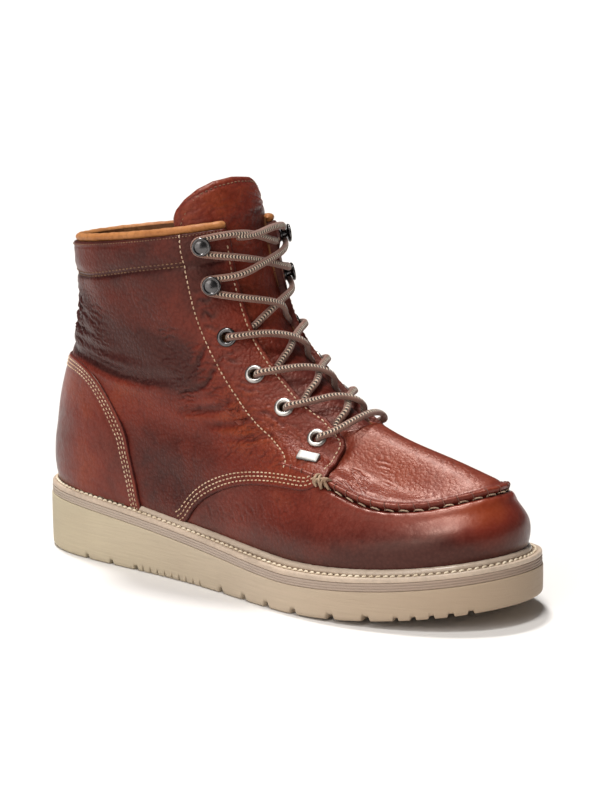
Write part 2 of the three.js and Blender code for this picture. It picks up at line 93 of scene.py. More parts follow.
def sole_bottom(x):
    t = (x + SOLE_LEN / 2) / SOLE_LEN
    return spring(t) + 1.5 * np.clip((0.10 - t) / 0.10, 0, 1) ** 2


LAT = [(0.012, 16.8), (0.045, 29.2), (0.10, 37.1), (0.20, 41.2), (0.34, 43.4), (0.48, 48.6), (0.60, 55.8), (0.71, 58.9), (0.81, 54.5), (0.89, 45.4), (0.95, 32.9), (0.985, 18.6)]
MED = [(0.995, 11.4), (0.965, 29.1), (0.91, 42.7), (0.83, 51.6), (0.73, 53.7), (0.62, 48.7), (0.50, 40.6), (0.36, 38.1), (0.22, 39.5), (0.10, 37.0), (0.045, 29.5), (0.012, 17.0)]
_th = lambda t: math.acos(1 - 2 * t)
_knots = [(0, 0)] + [(_th(t), -w) for t, w in LAT] + [(PI, 0.2)] + [(2 * PI - _th(t), w) for t, w in MED] + [(2 * PI, 0)]
_outline = Spline([k[0] for k in _knots], [k[1] for k in _knots], periodic=True)


def outline(th, inset=0.0):
    """Plan of the sole at an angle, moved in by inset."""
    th = np.asarray(th, float)

    def at(a):
        return np.stack([-SOLE_LEN / 2 + SOLE_LEN * (1 - np.cos(a)) / 2, _outline(a % (2 * PI))], -1)

    e = 1e-3
    t = at(th + e) - at(th - e)
    t /= np.linalg.norm(t, axis=-1, keepdims=True)
    return at(th) - np.stack([t[..., 1], -t[..., 0]], -1) * np.asarray(inset)[..., None]


COLS = "xb xf cB cF yF lh lw lb mh mw mb k dm zb z60 z120 zf".split()
SECTIONS = np.array([
    [-148.0, 144.5, .19, .29, 0.5, 33.6, 39.0, 50.0, 32.8, 33.0, 46.0, 1, 0, 0.3, 0.3, 0.3, 0.3],
    [-150.4, 147.6, .19, .29, 0.6, 35.2, 41.0, 52.5, 34.5, 34.5, 48.5, 1, 0, 8.5, 8.5, 8.5, 8.5],
    [-151.2, 147.8, .20, .29, 0.8, 35.8, 40.5, 52.5, 35.2, 35.0, 48.5, 1, 0, 18, 18, 18, 18],
    [-151.0, 143.2, .21, .30, 1.5, 35.8, 39.3, 48.5, 35.4, 35.0, 45.0, 1, 2.0, 26.5, 27, 28, 27],
    [-150.2, 137.4, .22, .31, 2.5, 35.4, 38.2, 43.0, 35.0, 35.0, 40.0, 0, 5.5, 67.5, 64, 61.0, 63.0],
    [-148.4, 129.0, .23, .32, 3.0, 34.8, 37.0, 38.5, 34.6, 35.0, 36.5, 0, 7.5, 79.5, 73, 67.0, 67.6],
    [-144.8, 107.5, .24, .33, 2.0, 34.0, 35.8, 35.5, 33.8, 34.5, 34.5, 0, 10.0, 92, 82, 73, 74.0],
    [-139.8, 82.0, .25, .34, 1.0, 33.6, 35.0, 34.0, 33.6, 34.2, 33.2, 0, 10.0, 105, 92, 80.2, 80.2],
    [-135.4, 58.2, .26, .34, 0.3, 33.8, 35.2, 34.2, 33.7, 34.4, 33.6, 0, 8.4, 117.5, 103, 88.6, 88.4],
    [-132.2, 37.3, .28, .35, 0.0, 34.4, 35.6, 34.6, 34.4, 35.0, 34.1, 0, 5.4, 128.5, 114, 99.3, 99.8],
    [-130.2, 19.0, .30, .36, 0.0, 35.0, 36.2, 35.0, 35.0, 35.8, 34.6, 0, 3.3, 138.5, 124.5, 111.7, 113.0],
    [-129.0, 3.8, .33, .37, 0.0, 35.8, 37.0, 35.2, 35.8, 36.7, 34.9, 0, 2.0, 148, 137, 126.3, 127.8],
    [-128.5, -6.5, .36, .37, 0.0, 36.6, 38.2, 36.8, 36.6, 37.8, 36.4, 0, 1.0, 157, 150, 143, 145.8],
    [-128.6, -13.8, .38, .38, 0.0, 37.4, 39.0, 37.8, 37.4, 38.6, 37.4, 0, 0, 165, 163, 163, 165.5],
    [-128.8, -18.0, .39, .38, 0.0, 38.0, 39.6, 38.0, 38.0, 39.2, 37.6, 0, 0, 171.5, 174.5, 181.5, 186.0]])
TOP = len(SECTIONS) - 1
_cols = Spline(np.arange(TOP + 1), SECTIONS)


def half_width(f, a, b, c):
    m = (c - a) / 0.6

    def hm(s, p0, p1, m0, m1):
        return (2 * s**3 - 3 * s**2 + 1) * p0 + (s**3 - 2 * s**2 + s) * 0.3 * m0 + (3 * s**2 - 2 * s**3) * p1 + (s**3 - s**2) * 0.3 * m1

    low, high = hm((f - 0.15) / 0.3, a, b, 0, m), hm((f - 0.45) / 0.3, b, c, m, 0)
    return np.where(f <= 0.15, a, np.where(f >= 0.75, c, np.where(f < 0.45, low, high)))


def form(th, v):
    """The boot's outer form, the same one the CAD part is made from."""
    th, v = np.broadcast_arrays(np.asarray(th, float) % (2 * PI), np.clip(np.asarray(v, float), 0, TOP))
    c = dict(zip(COLS, np.moveaxis(_cols(v), -1, 0)))
    co = np.cos(th)
    f = (1 - co) / 2
    x = c["xb"] + (c["xf"] - c["xb"]) * f
    sb, sf = np.clip(1 - f / c["cB"], 0, 1), np.clip(1 - (1 - f) / c["cF"], 0, 1)
    cap = np.sqrt(np.clip(1 - sb**2.3, 0, 1) * np.clip(1 - sf**2.3, 0, 1))
    w = np.where(th < PI, -half_width(f, c["lh"], c["lw"], c["lb"]), half_width(f, c["mh"], c["mw"], c["mb"]))
    y = c["yF"] * smooth((f - 0.6) / 0.4) + w * cap
    zb, z6, z12, zf = c["zb"], c["z60"], c["z120"], c["zf"]
    a0, a1, a2, a3 = (zb + 2 * z6 + 2 * z12 + zf) / 6, (zb + z6 - z12 - zf) / 3, (zb - z6 - z12 + zf) / 3, (zb - 2 * z6 + 2 * z12 - zf) / 6
    sh = -(co * co - 1) * (co * co - 0.25) * ((1 - co) / 2) ** 3 / 0.1015
    z = a0 + a1 * co + a2 * np.cos(2 * th) + a3 * np.cos(3 * th) - c["dm"] * sh + c["k"] * sole_top(x)
    return np.stack([x, y, z], -1)


def unit(a):
    return a / (np.linalg.norm(a, axis=-1, keepdims=True) + 1e-12)


def partials(th, v):
    th, v = np.broadcast_arrays(np.asarray(th, float), np.asarray(v, float))
    e, g = 0.006, 0.02
    lo, hi = np.clip(v - g, 0, TOP), np.clip(v + g, 0, TOP)
    return (form(th + e, v) - form(th - e, v)) / (2 * e), (form(th, hi) - form(th, lo)) / (hi - lo)[..., None]


def normal(th, v):
    a, b = partials(th, v)
    return unit(np.cross(a, b))


def skin(th, v, d=0.0):
    return form(th, v) + normal(th, v) * np.asarray(d, float)[..., None]


def moved(q, vec):
    """(theta, v) after a step of vec millimetres along the surface."""
    a, b = partials(q[..., 0], q[..., 1])
    aa, ab, bb = (a * a).sum(-1), (a * b).sum(-1), (b * b).sum(-1)
    ra, rb = (a * vec).sum(-1), (b * vec).sum(-1)
    det = aa * bb - ab * ab
    return q + np.stack([(ra * bb - rb * ab) / det, (rb * aa - ra * ab) / det], -1)


def curve(knots, step=1.0):
    """Smooth (theta, v) curve through knots given as (degrees, v)."""
    K = np.array(knots, float)
    K[:, 0] *= D2R
    s = np.r_[0, np.cumsum(np.linalg.norm(np.diff(form(K[:, 0], K[:, 1]), axis=0), axis=1))]
    return Spline(s, K)(np.linspace(0, s[-1], max(3, int(s[-1] / step) + 1)))


def beside(q, mm):
    """A (theta, v) curve moved sideways along the surface, to the left of its direction seen from outside."""
    P, n = form(q[:, 0], q[:, 1]), normal(q[:, 0], q[:, 1])
    t = unit(np.gradient(P, axis=0))
    side = unit(np.cross(n, t))
    out = q.copy()
    for _ in range(2):
        out = moved(out, side * mm / 2)
    return out


def mirror(q):
    out = np.array(q, float)
    out[:, 0] = 2 * PI - out[:, 0]
    return out


# ---------------------------------------------------------------- distances on the surface
def nearest(P, C):
    """Distance from points to a polyline, the index of the nearest segment and the place along the line."""
    A, B = C[:-1], C[1:]
    AB = B - A
    L2 = (AB * AB).sum(1) + 1e-12
    run = np.r_[0, np.cumsum(np.sqrt(L2))]
    dist, idx, pos = np.empty(len(P)), np.empty(len(P), int), np.empty(len(P))
    cc = (C * C).sum(1)
    for k in range(0, len(P), 6000):
        p = P[k:k + 6000]
        d2 = (p * p).sum(1)[:, None] + cc[None] - 2 * p @ C.T
        i = d2.argmin(1)
        best = np.full(len(p), 1e18)
        for j in (np.clip(i - 1, 0, len(A) - 1), np.clip(i, 0, len(A) - 1)):
            u = np.clip(((p - A[j]) * AB[j]).sum(1) / L2[j], 0, 1)
            d = ((A[j] + AB[j] * u[:, None] - p) ** 2).sum(1)
            m = d < best
            best[m] = d[m]
            idx[k:k + 6000][m] = j[m]
            pos[k:k + 6000][m] = (run[j] + u * np.sqrt(L2[j]))[m]
        dist[k:k + 6000] = np.sqrt(best)
    return dist, idx, pos


def inside(Q, poly):
    out = np.zeros(len(Q), bool)
    x, y = Q[:, 0], Q[:, 1]
    X0, Y0_, X1, Y1 = poly[:, 0], poly[:, 1], np.roll(poly[:, 0], -1), np.roll(poly[:, 1], -1)
    for a, b, c, d in zip(X0, Y0_, X1, Y1):
        if b == d:
            continue
        m = ((b > y) != (d > y)) & (x < (c - a) * (y - b) / (d - b) + a)
        out ^= m
    return out


def edge_distance(Q, P, poly):
    """Signed distance in millimetres to a closed (theta, v) outline, positive inside."""
    loop = np.vstack([poly, poly[:1]])
    d, _, _ = nearest(P, form(loop[:, 0], loop[:, 1]))
    return np.where(inside(Q, poly), d, -d)


# ---------------------------------------------------------------- creases
class Creases:
    """Soft troughs with a raised bank on both sides: lines in (theta, v) with a depth and a width in millimetres."""

    def __init__(self):
        self.lines = []

    def add(self, knots, depth, width, bank=0.45):
        q = curve(knots, 1.5)
        self.lines.append((form(q[:, 0], q[:, 1]), depth, width, bank))
        return self

    def scatter(self, seed, n, th, v, angle, spread, length, depth, width, bend=0.5, bank=0.45):
        """n short creases in a zone; angle is from the direction round the boot, in degrees."""
        r = np.random.default_rng(seed)
        q = np.stack([r.uniform(*th, n) * D2R, r.uniform(*v, n)], -1)
        a = np.radians(angle + spread * r.standard_normal(n))
        L, D, W, turn = r.uniform(*length, n), r.uniform(*depth, n), r.uniform(*width, n), bend * r.standard_normal(n)
        pts = [form(q[:, 0], q[:, 1])]
        steps = 10
        for k in range(steps):
            pa, pb = partials(q[:, 0], q[:, 1])
            nn = unit(np.cross(pa, pb))
            e1 = unit(pa)
            e2 = np.cross(nn, e1)
            aa = a + turn * (k / steps - 0.5) * 2 + 0.25 * np.sin(k * 1.7 + turn * 9)
            q = moved(q, (e1 * np.cos(aa)[:, None] + e2 * np.sin(aa)[:, None]) * (L / steps)[:, None])
            pts.append(form(q[:, 0], q[:, 1]))
        pts = np.stack(pts, 1)
        for k in range(n):
            self.lines.append((pts[k], D[k], W[k], bank))
        return self

    def family(self, seed, a, b, n, angle, length, depth, width, jitter=0.12, bank=0.5, wave=0.35):
        """n nearly parallel creases that start along the line from a to b, both (degrees, v)."""
        r = np.random.default_rng(seed)
        u = (np.arange(n) + 0.5 + r.normal(0, 0.28, n)) / n
        q = np.stack([(a[0] + (b[0] - a[0]) * u) * D2R, a[1] + (b[1] - a[1]) * u], -1)
        ang = np.radians(np.interp(u, [0, 1], angle)) + jitter * r.standard_normal(n)
        L, D, W = r.uniform(*length, n), r.uniform(*depth, n), r.uniform(*width, n)
        ph, pts, steps = r.uniform(0, 6.3, n), [form(q[:, 0], q[:, 1])], 14
        for k in range(steps):
            pa, pb = partials(q[:, 0], q[:, 1])
            nn = unit(np.cross(pa, pb))
            e1 = unit(pa)
            e2 = np.cross(nn, e1)
            aa = ang + wave * np.sin(k * 0.75 + ph) + 0.5 * wave * np.sin(k * 1.9 + 2 * ph)
            q = moved(q, (e1 * np.cos(aa)[:, None] + e2 * np.sin(aa)[:, None]) * (L / steps)[:, None])
            pts.append(form(q[:, 0], q[:, 1]))
        pts = np.stack(pts, 1)
        for k in range(n):
            self.lines.append((pts[k], D[k], W[k], bank))
        return self

    def __call__(self, P):
        out = np.zeros(len(P))
        for C, depth, width, bank in self.lines:
            reach = 4.2 * width
            lo, hi = C.min(0) - reach, C.max(0) + reach
            m = np.flatnonzero(((P > lo) & (P < hi)).all(1))
            if not len(m):
                continue
            d, _, pos = nearest(P[m], C)
            total = np.linalg.norm(np.diff(C, axis=0), axis=1).sum()
            u = np.clip(pos / total, 0, 1)
            taper = np.sin(PI * np.clip(u * 0.94 + 0.03, 0, 1)) ** 0.8
            out[m] += 1.45 * depth * taper * (-np.exp(-(d / width) ** 2) + bank * np.exp(-((d - 2.0 * width) / (0.95 * width)) ** 2))
        return out


# ---------------------------------------------------------------- mesh helpers
SURF = {}


def mesh(name, V, F, mat, attrs=None, body="root", node=(), slot=None, smooth_shade=True):
    """A mesh piece from points in millimetres and faces of 3 or 4 corners."""
    V = np.asarray(V, float).copy()
    V[:, 1] += Y0
    me = bpy.data.meshes.new(name)
    me.from_pydata((V / 1000).tolist(), [], F.tolist() if hasattr(F, "tolist") else F)
    me.validate(clean_customdata=False)
    if smooth_shade:
        me.polygons.foreach_set("use_smooth", [True] * len(me.polygons))
    for k, a in (attrs or {}).items():
        at = me.attributes.new(k, "FLOAT", "POINT")
        at.data.foreach_set("value", np.asarray(a, np.float32))
    me.materials.append(mat)
    ob = bpy.data.objects.new(name, me)
    bpy.context.scene.collection.objects.link(ob)
    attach(ob, body)
    if node:
        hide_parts(*([node] if isinstance(node, str) else node))
    SURF[name] = (V, F.tolist() if hasattr(F, "tolist") else F)
    return ob


def grid_faces(nu, nv, wrap_u=False, wrap_v=False):
    """Quads of a grid stored as [u][v] -> u * nv + v."""
    i, j = np.meshgrid(np.arange(nu if wrap_u else nu - 1), np.arange(nv if wrap_v else nv - 1), indexing="ij")
    i, j = i.ravel(), j.ravel()
    i1, j1 = (i + 1) % nu, (j + 1) % nv
    return np.stack([i * nv + j, i1 * nv + j, i1 * nv + j1, i * nv + j1], 1)


def split(Q, phi, T, level):
    """Cut triangles along phi = level."""
    phi = np.where(np.abs(phi - level) < 0.05, level, phi)
    s = np.sign(phi - level).astype(int)
    S = s[T]
    mixed = (S.min(1) < 0) & (S.max(1) > 0)
    keep, M = T[~mixed], T[mixed]
    if not len(M):
        return Q, phi, T
    S = s[M]
    zero = (S == 0).any(1)
    out, N = [keep], len(Q)
    pairs = []
    MB = M[zero]
    kb = np.argmax(s[MB] == 0, 1)
    MB = np.stack([MB[np.arange(len(MB)), (kb + k) % 3] for k in range(3)], 1) if len(MB) else MB.reshape(0, 3)
    MA = M[~zero]
    SA = s[MA]
    ka = np.argmax(SA == -np.sign(SA.sum(1))[:, None], 1)
    MA = np.stack([MA[np.arange(len(MA)), (ka + k) % 3] for k in range(3)], 1) if len(MA) else MA.reshape(0, 3)
    e = np.vstack([MB[:, [1, 2]], MA[:, [0, 1]], MA[:, [0, 2]]])
    lo, hi = e.min(1), e.max(1)
    key, inv = np.unique(lo.astype(np.int64) * N + hi, return_inverse=True)
    a, b = (key // N).astype(int), (key % N).astype(int)
    u = (level - phi[a]) / (phi[b] - phi[a])
    Q = np.vstack([Q, Q[a] + (Q[b] - Q[a]) * u[:, None]])
    phi = np.r_[phi, np.full(len(key), float(level))]
    inv = inv.ravel() + N
    nb, na = len(MB), len(MA)
    m = inv[:nb]
    out += [np.stack([MB[:, 0], MB[:, 1], m], 1), np.stack([MB[:, 0], m, MB[:, 2]], 1)]
    m1, m2 = inv[nb:nb + na], inv[nb + na:]
    out += [np.stack([MA[:, 0], m1, m2], 1), np.stack([m1, MA[:, 1], MA[:, 2]], 1), np.stack([m1, MA[:, 2], m2], 1)]
    return Q, phi, np.vstack(out)


def panel(name, th, v, poly=None, holes=(), round_holes=(), height=1.6, r=0.8, bottom=-0.4, step=1.0, shape=None, paint=None,
          mat=None, node=(), slot=None, flip=False):
    """A leather panel on the form: cut to its outline, its edge rounded over r and closed down to bottom.
    height, shape and paint take (Q, P, phi): theta and v, the points on the form and the distance from the edge."""
    a0, a1 = th[0] * D2R, th[1] * D2R
    mid = np.linspace(a0, a1, 60)
    arc = max(np.linalg.norm(np.diff(form(mid, w), axis=0), axis=1).sum() for w in np.linspace(v[0], v[1], 5))
    tall = max(np.linalg.norm(np.diff(form(w, np.linspace(v[0], v[1], 60)), axis=0), axis=1).sum() for w in np.linspace(a0, a1, 7))
    nu, nv = int(arc / step) + 2, int(tall / step) + 2
    # rows of even height on the mean of the columns
    vv = np.linspace(v[0], v[1], 400)
    gain = np.mean([np.r_[0, np.cumsum(np.linalg.norm(np.diff(form(w, vv), axis=0), axis=1))] for w in np.linspace(a0, a1, 9)], 0)
    rows = np.interp(np.linspace(0, gain[-1], nv), gain, vv)
    A, B = np.meshgrid(np.linspace(a0, a1, nu), rows, indexing="ij")
    Q = np.stack([A.ravel(), B.ravel()], 1)
    F = grid_faces(nu, nv)
    odd = ((F[:, 0] // nv + F[:, 0] % nv) % 2).astype(bool)
    T = np.vstack([np.where(odd[:, None], F[:, [0, 1, 2]], F[:, [0, 1, 3]]), np.where(odd[:, None], F[:, [0, 2, 3]], F[:, [1, 2, 3]])])
    P = form(Q[:, 0], Q[:, 1])
    phi = np.full(len(Q), 50.0)
    if poly is not None:
        phi = edge_distance(Q, P, poly)
    for h in holes:
        phi = np.minimum(phi, -edge_distance(Q, P, h))
    for (ht, hv), rad in round_holes:
        phi = np.minimum(phi, np.linalg.norm(P - form(ht * D2R, hv), axis=1) - rad)
    T = T[phi[T].max(1) > 0]
    for level in (0.0, 0.134 * r, 0.5 * r, r):
        Q, phi, T = split(Q, phi, T, level)
        if level == 0.0:
            T = T[phi[T].max(1) > 0]
    # drop the points that no triangle uses
    used, inv = np.unique(T, return_inverse=True)
    Q, phi, T = Q[used], phi[used], inv.reshape(-1, 3)
    P, n = form(Q[:, 0], Q[:, 1]), normal(Q[:, 0], Q[:, 1])
    h = height(Q, P, phi) if callable(height) else np.full(len(Q), float(height))
    k = np.clip(phi / r, 0, 1)
    h = h - r + r * np.sqrt(np.clip(1 - (1 - k) ** 2, 0, 1))
    if shape is not None:
        h = h + shape(Q, P, phi)
    V = P + n * h[:, None]
    E = np.vstack([T[:, [0, 1]], T[:, [1, 2]], T[:, [2, 0]]]).astype(np.int64)
    N = len(Q)
    fw = E[:, 0] * N + E[:, 1]
    bw = E[:, 1] * N + E[:, 0]
    rim = E[~np.isin(fw, bw)]
    tag = {"edge": phi}
    attrs = paint(Q, P, phi) if paint else {}
    if bottom is not None:
        rim = rim[(phi[rim] < 0.01).all(1)]
        ring, rinv = np.unique(rim, return_inverse=True)
        rinv = rinv.reshape(-1, 2)
        low = P[ring] + n[ring] * bottom
        V = np.vstack([V, low])
        a, b = rim[:, 0], rim[:, 1]
        a2, b2 = rinv[:, 0] + N, rinv[:, 1] + N
        T = np.vstack([T, np.stack([b, a, a2], 1), np.stack([b, a2, b2], 1)])
        attrs = {k2: np.r_[x, x[ring]] for k2, x in attrs.items()}
    if flip:
        T = T[:, ::-1]
    return mesh(name, V, T, mat, attrs, node=node, slot=slot)


def tube(name, path, up, hw, hh, mat, k=12, closed=False, attrs=True, taper_ends=True, node=(), slot=None, wob=None, power=2.0):
    """An oval cord swept along path; up is the direction of its thin side."""
    P = np.asarray(path, float)
    n = len(P)
    t = unit(np.roll(P, -1, 0) - np.roll(P, 1, 0)) if closed else unit(np.gradient(P, axis=0))
    up = np.broadcast_to(np.asarray(up, float), P.shape)
    side = unit(np.cross(t, up))
    up2 = unit(np.cross(side, t))
    a = np.linspace(0, 2 * PI, k, endpoint=False)
    s = np.r_[0, np.cumsum(np.linalg.norm(np.diff(P, axis=0), axis=1))]
    ca, sa = np.sign(np.cos(a)) * np.abs(np.cos(a)) ** (2 / power), np.sign(np.sin(a)) * np.abs(np.sin(a)) ** (2 / power)
    scale = np.ones(n)
    if taper_ends and not closed:
        e = np.minimum(s, s[-1] - s) / max(hh, 0.1)
        scale = np.sqrt(np.clip(1 - (1 - np.clip(e, 0, 1)) ** 2, 0.0, 1)) * 0.98 + 0.02
    hwv, hhv = np.broadcast_to(np.asarray(hw, float), (n,)) * scale, np.broadcast_to(np.asarray(hh, float), (n,)) * scale
    V = P[:, None] + side[:, None] * (hwv[:, None] * ca)[..., None] + up2[:, None] * (hhv[:, None] * sa)[..., None]
    if wob is not None:
        V = V + wob(s[:, None], a[None])[..., None] * (side[:, None] * ca[None, :, None] + up2[:, None] * sa[None, :, None])
    F = grid_faces(n, k, wrap_u=closed, wrap_v=True)
    V = V.reshape(-1, 3)
    S, W = np.repeat(s, k), np.tile(np.cos(a), n)
    F = [list(f) for f in F.tolist()]
    if not closed:
        F.append(list(range(k)))
        F.append(list(range((n - 1) * k, n * k))[::-1])
    F = [f[::-1] for f in F]
    return mesh(name, V, F, mat, {"along": S, "across": W} if attrs else None, node=node, slot=slot)


def place_stitches(name, rows, mat, length=2.1, gap=0.8, rad=0.34, slant=0.0, seed=5, dive=0.5, node=()):
    """Thread stitches, each a bowed capsule half sunk. A row is (points, normals)."""
    rng = np.random.default_rng(seed)
    ru, rk = 7, 6
    u = np.linspace(-1, 1, ru)
    body = np.sqrt(np.clip(1 - np.abs(u) ** 4, 0, 1)) * 0.96 + 0.04
    ang = np.linspace(0, 2 * PI, rk, endpoint=False)
    Vs, Fs, base = [], [], 0
    F0 = grid_faces(ru, rk, wrap_v=True).tolist() + [list(range(rk)), list(range((ru - 1) * rk, ru * rk))[::-1]]
    F0 = [f[::-1] for f in F0]
    for P, n in rows:
        s = np.r_[0, np.cumsum(np.linalg.norm(np.diff(P, axis=0), axis=1))]
        pitch = length + gap
        m = max(1, int((s[-1] - 0.5) / pitch))
        at = (np.arange(m) + 0.5) * (s[-1] / m) + rng.normal(0, 0.08, m)
        C = np.stack([np.interp(at, s, P[:, k]) for k in range(3)], 1)
        C0 = np.stack([np.interp(at - 0.4, s, P[:, k]) for k in range(3)], 1)
        C1 = np.stack([np.interp(at + 0.4, s, P[:, k]) for k in range(3)], 1)
        nn = unit(np.stack([np.interp(at, s, n[:, k]) for k in range(3)], 1))
        t = unit(C1 - C0)
        w = np.cross(nn, t)
        sl = np.radians(slant) + rng.normal(0, 0.07, m)
        t, w = t * np.cos(sl)[:, None] + w * np.sin(sl)[:, None], w * np.cos(sl)[:, None] - t * np.sin(sl)[:, None]
        L = length / 2 * (1 + rng.normal(0, 0.06, m))
        for i in range(m):
            cen = C[i] + np.outer(u * L[i], t[i]) + np.outer(rad * 0.55 - dive * np.abs(u) ** 3, nn[i])
            ring = (np.outer(np.cos(ang), w[i]) * 1.0 + np.outer(np.sin(ang), nn[i]) * 0.9) * rad
            Vs.append((cen[:, None] + ring[None] * body[:, None, None]).reshape(-1, 3))
            Fs += [[c + base for c in f] for f in F0]
            base += ru * rk
    return mesh(name, np.vstack(Vs), Fs, mat, node=node)


def height_on(q, names, default=0.0):
    """Height over the form of the pieces' own surface, met by a ray from outside."""
    P, n = form(q[:, 0], q[:, 1]), normal(q[:, 0], q[:, 1])
    out = np.full(len(q), float(default))
    for name in names:
        if not isinstance(SURF[name], BVHTree):
            SURF[name] = BVHTree.FromPolygons(SURF[name][0].tolist(), SURF[name][1])
        for i in range(len(q)):
            o = P[i] + n[i] * 12 + np.array([0, Y0, 0])
            hit = SURF[name].ray_cast(Vector(o), Vector(-n[i]), 16.0)
            if hit[0] is not None:
                out[i] = max(out[i], 12 - hit[3]) if out[i] != default else 12 - hit[3]
    return out


def row_on(q, names, lift=0.0, start=0.0, end=0.0):
    """Points and normals of a stitch row that lies on the pieces."""
    hh = height_on(q, names, 1.6) + lift
    P, n = skin(q[:, 0], q[:, 1], hh), normal(q[:, 0], q[:, 1])
    s = np.r_[0, np.cumsum(np.linalg.norm(np.diff(P, axis=0), axis=1))]
    m = (s >= start) & (s <= s[-1] - end)
    return P[m], n[m]


# ---------------------------------------------------------------- materials
def material(name):
    m = bpy.data.materials.new(name)
    m.use_nodes = True
    nt = m.node_tree
    nt.nodes.clear()
    out = nt.nodes.new("ShaderNodeOutputMaterial")
    b = nt.nodes.new("ShaderNodeBsdfPrincipled")
    nt.links.new(b.outputs[0], out.inputs[0])
    return m, nt, b


class Net:
    """Short names for the nodes that the materials use."""

    def __init__(self, nt):
        self.nt = nt

    def put(self, kind, **props):
        n = self.nt.nodes.new(kind)
        for k, x in props.items():
            setattr(n, k, x)
        return n

    def join(self, a, b):
        self.nt.links.new(a, b)

    def feed(self, sock, x):
        if hasattr(x, "is_output"):
            self.join(x, sock)
        else:
            sock.default_value = x

    def coords(self):
        return self.put("ShaderNodeTexCoord").outputs["Object"]

    def math(self, op, a, b=0.0, c=0.0, clamp=False):
        n = self.put("ShaderNodeMath", operation=op, use_clamp=clamp)
        self.feed(n.inputs[0], a)
        self.feed(n.inputs[1], b)
        if op in ("MULTIPLY_ADD", "WRAP", "SMOOTH_MIN"):
            self.feed(n.inputs[2], c)
        return n.outputs[0]

    def noise(self, vec, scale, detail=3.0, rough=0.55):
        n = self.put("ShaderNodeTexNoise")
        self.join(vec, n.inputs["Vector"])
        n.inputs["Scale"].default_value, n.inputs["Detail"].default_value, n.inputs["Roughness"].default_value = scale, detail, rough
        return n

    def voronoi(self, vec, scale, feature="F1", smoothness=None):
        n = self.put("ShaderNodeTexVoronoi", feature=feature)
        self.join(vec, n.inputs["Vector"])
        n.inputs["Scale"].default_value = scale
        return n

    def attr(self, name):
        return self.put("ShaderNodeAttribute", attribute_name=name).outputs["Fac"]

    def ramp(self, fac, stops):
        n = self.put("ShaderNodeValToRGB")
        self.feed(n.inputs[0], fac)
        cr = n.color_ramp
        while len(cr.elements) < len(stops):
            cr.elements.new(0.5)
        for e, (p, c) in zip(cr.elements, stops):
            e.position = p
            e.color = (*c, 1) if hasattr(c, "__len__") else (c, c, c, 1)
        return n.outputs[0]

    def mix(self, fac, a, b, blend="MIX"):
        n = self.put("ShaderNodeMix", data_type="RGBA", blend_type=blend)
        self.feed(n.inputs[0], fac)
        self.feed(n.inputs[6], a if hasattr(a, "is_output") else (*a, 1))
        self.feed(n.inputs[7], b if hasattr(b, "is_output") else (*b, 1))
        return n.outputs[2]

    def remap(self, x, a, b, c, d):
        n = self.put("ShaderNodeMapRange")
        self.feed(n.inputs[0], x)
        for i, y in enumerate((a, b, c, d)):
            n.inputs[i + 1].default_value = y
        return n.outputs[0]

    def bump(self, height, distance, strength=1.0, chain=None):
        n = self.put("ShaderNodeBump")
        n.inputs["Strength"].default_value, n.inputs["Distance"].default_value = strength, distance
        self.join(height, n.inputs["Height"])
        if chain is not None:
            self.join(chain, n.inputs["Normal"])
        return n.outputs[0]


def leather(name, base, dark, warm, grain_top_sheen, grain=0.30, cell=560.0, rough=0.40, coat=0.22, spec=0.38, attr=True, mottle=1.0, ripple=1.0):
    m, nt, b = material(name)
    k = Net(nt)
    co = k.coords()
    wob = k.noise(co, 230.0, 3.0)
    vm = k.put("ShaderNodeVectorMath", operation="MULTIPLY_ADD")
    k.join(wob.outputs["Color"], vm.inputs[0])
    vm.inputs[1].default_value = (0.0026, 0.0026, 0.0026)
    k.join(co, vm.inputs[2])
    vec = vm.outputs[0]
    v1, v2 = k.voronoi(vec, cell), k.voronoi(vec, cell * 2.3)
    n1, n2, n3 = k.noise(co, 900.0, 4.0, 0.65), k.noise(co, 42.0, 3.0), k.noise(co, 170.0, 4.0)
    h = k.math("MULTIPLY", v1.outputs["Distance"], -1.0)
    h = k.math("MULTIPLY_ADD", v2.outputs["Distance"], -0.32, h)
    h = k.math("MULTIPLY_ADD", n1.outputs["Fac"], 0.28, h)
    amount = k.remap(n2.outputs["Fac"], 0.32, 0.68, 0.55, 1.25)
    if attr:
        amount = k.math("MULTIPLY", amount, k.attr("grain"))
    hb = k.math("MULTIPLY", h, amount)
    soft = k.bump(n3.outputs["Fac"], 0.00045 * ripple, 0.9)
    k.join(k.bump(hb, grain / 1000, 1.0, soft), b.inputs["Normal"])
    if attr:
        # per-point tone: the leather's own darker and warmer patches together with painted shade and painted highlights
        # set on each piece; the dark colour at -1, the warm colour at +1
        tone = k.attr("tone")
        tone = k.math("ADD", tone, k.remap(n2.outputs["Fac"], 0.3, 0.7, -0.28 * mottle, 0.28 * mottle))
        tone = k.math("ADD", tone, k.remap(n3.outputs["Fac"], 0.3, 0.7, -0.08 * mottle, 0.08 * mottle))
        fac = k.remap(tone, -1.0, 1.0, 0.0, 1.0)
        col = k.ramp(fac, [(0.0, dark), (0.5, base), (1.0, warm)])
    else:
        col = k.ramp(n2.outputs["Fac"], [(0.3, dark), (0.5, base), (0.72, warm)])
    # painted highlight: the grain's tops are lightened a little; painted shade: the lines between them are darkened
    top_sheen_mask = k.remap(v1.outputs["Distance"], 0.15, 0.75, 1.0, 0.0)
    col = k.mix(k.math("MULTIPLY", top_sheen_mask, 0.05), col, grain_top_sheen)
    lines = k.remap(v1.outputs["Distance"], 0.5, 0.9, 0.0, 0.30)
    col = k.mix(k.math("MULTIPLY", lines, amount), col, tuple(c * 0.35 for c in dark))
    k.join(col, b.inputs["Base Color"])
    k.join(k.remap(n3.outputs["Fac"], 0.3, 0.7, rough - 0.05, rough + 0.08), b.inputs["Roughness"])
    b.inputs["Specular IOR Level"].default_value = spec
    b.inputs["Specular Tint"].default_value = (1.0, 0.60, 0.48, 1)
    b.inputs["Coat Weight"].default_value = coat * 0.22
    b.inputs["Coat Roughness"].default_value = 0.28
    return m


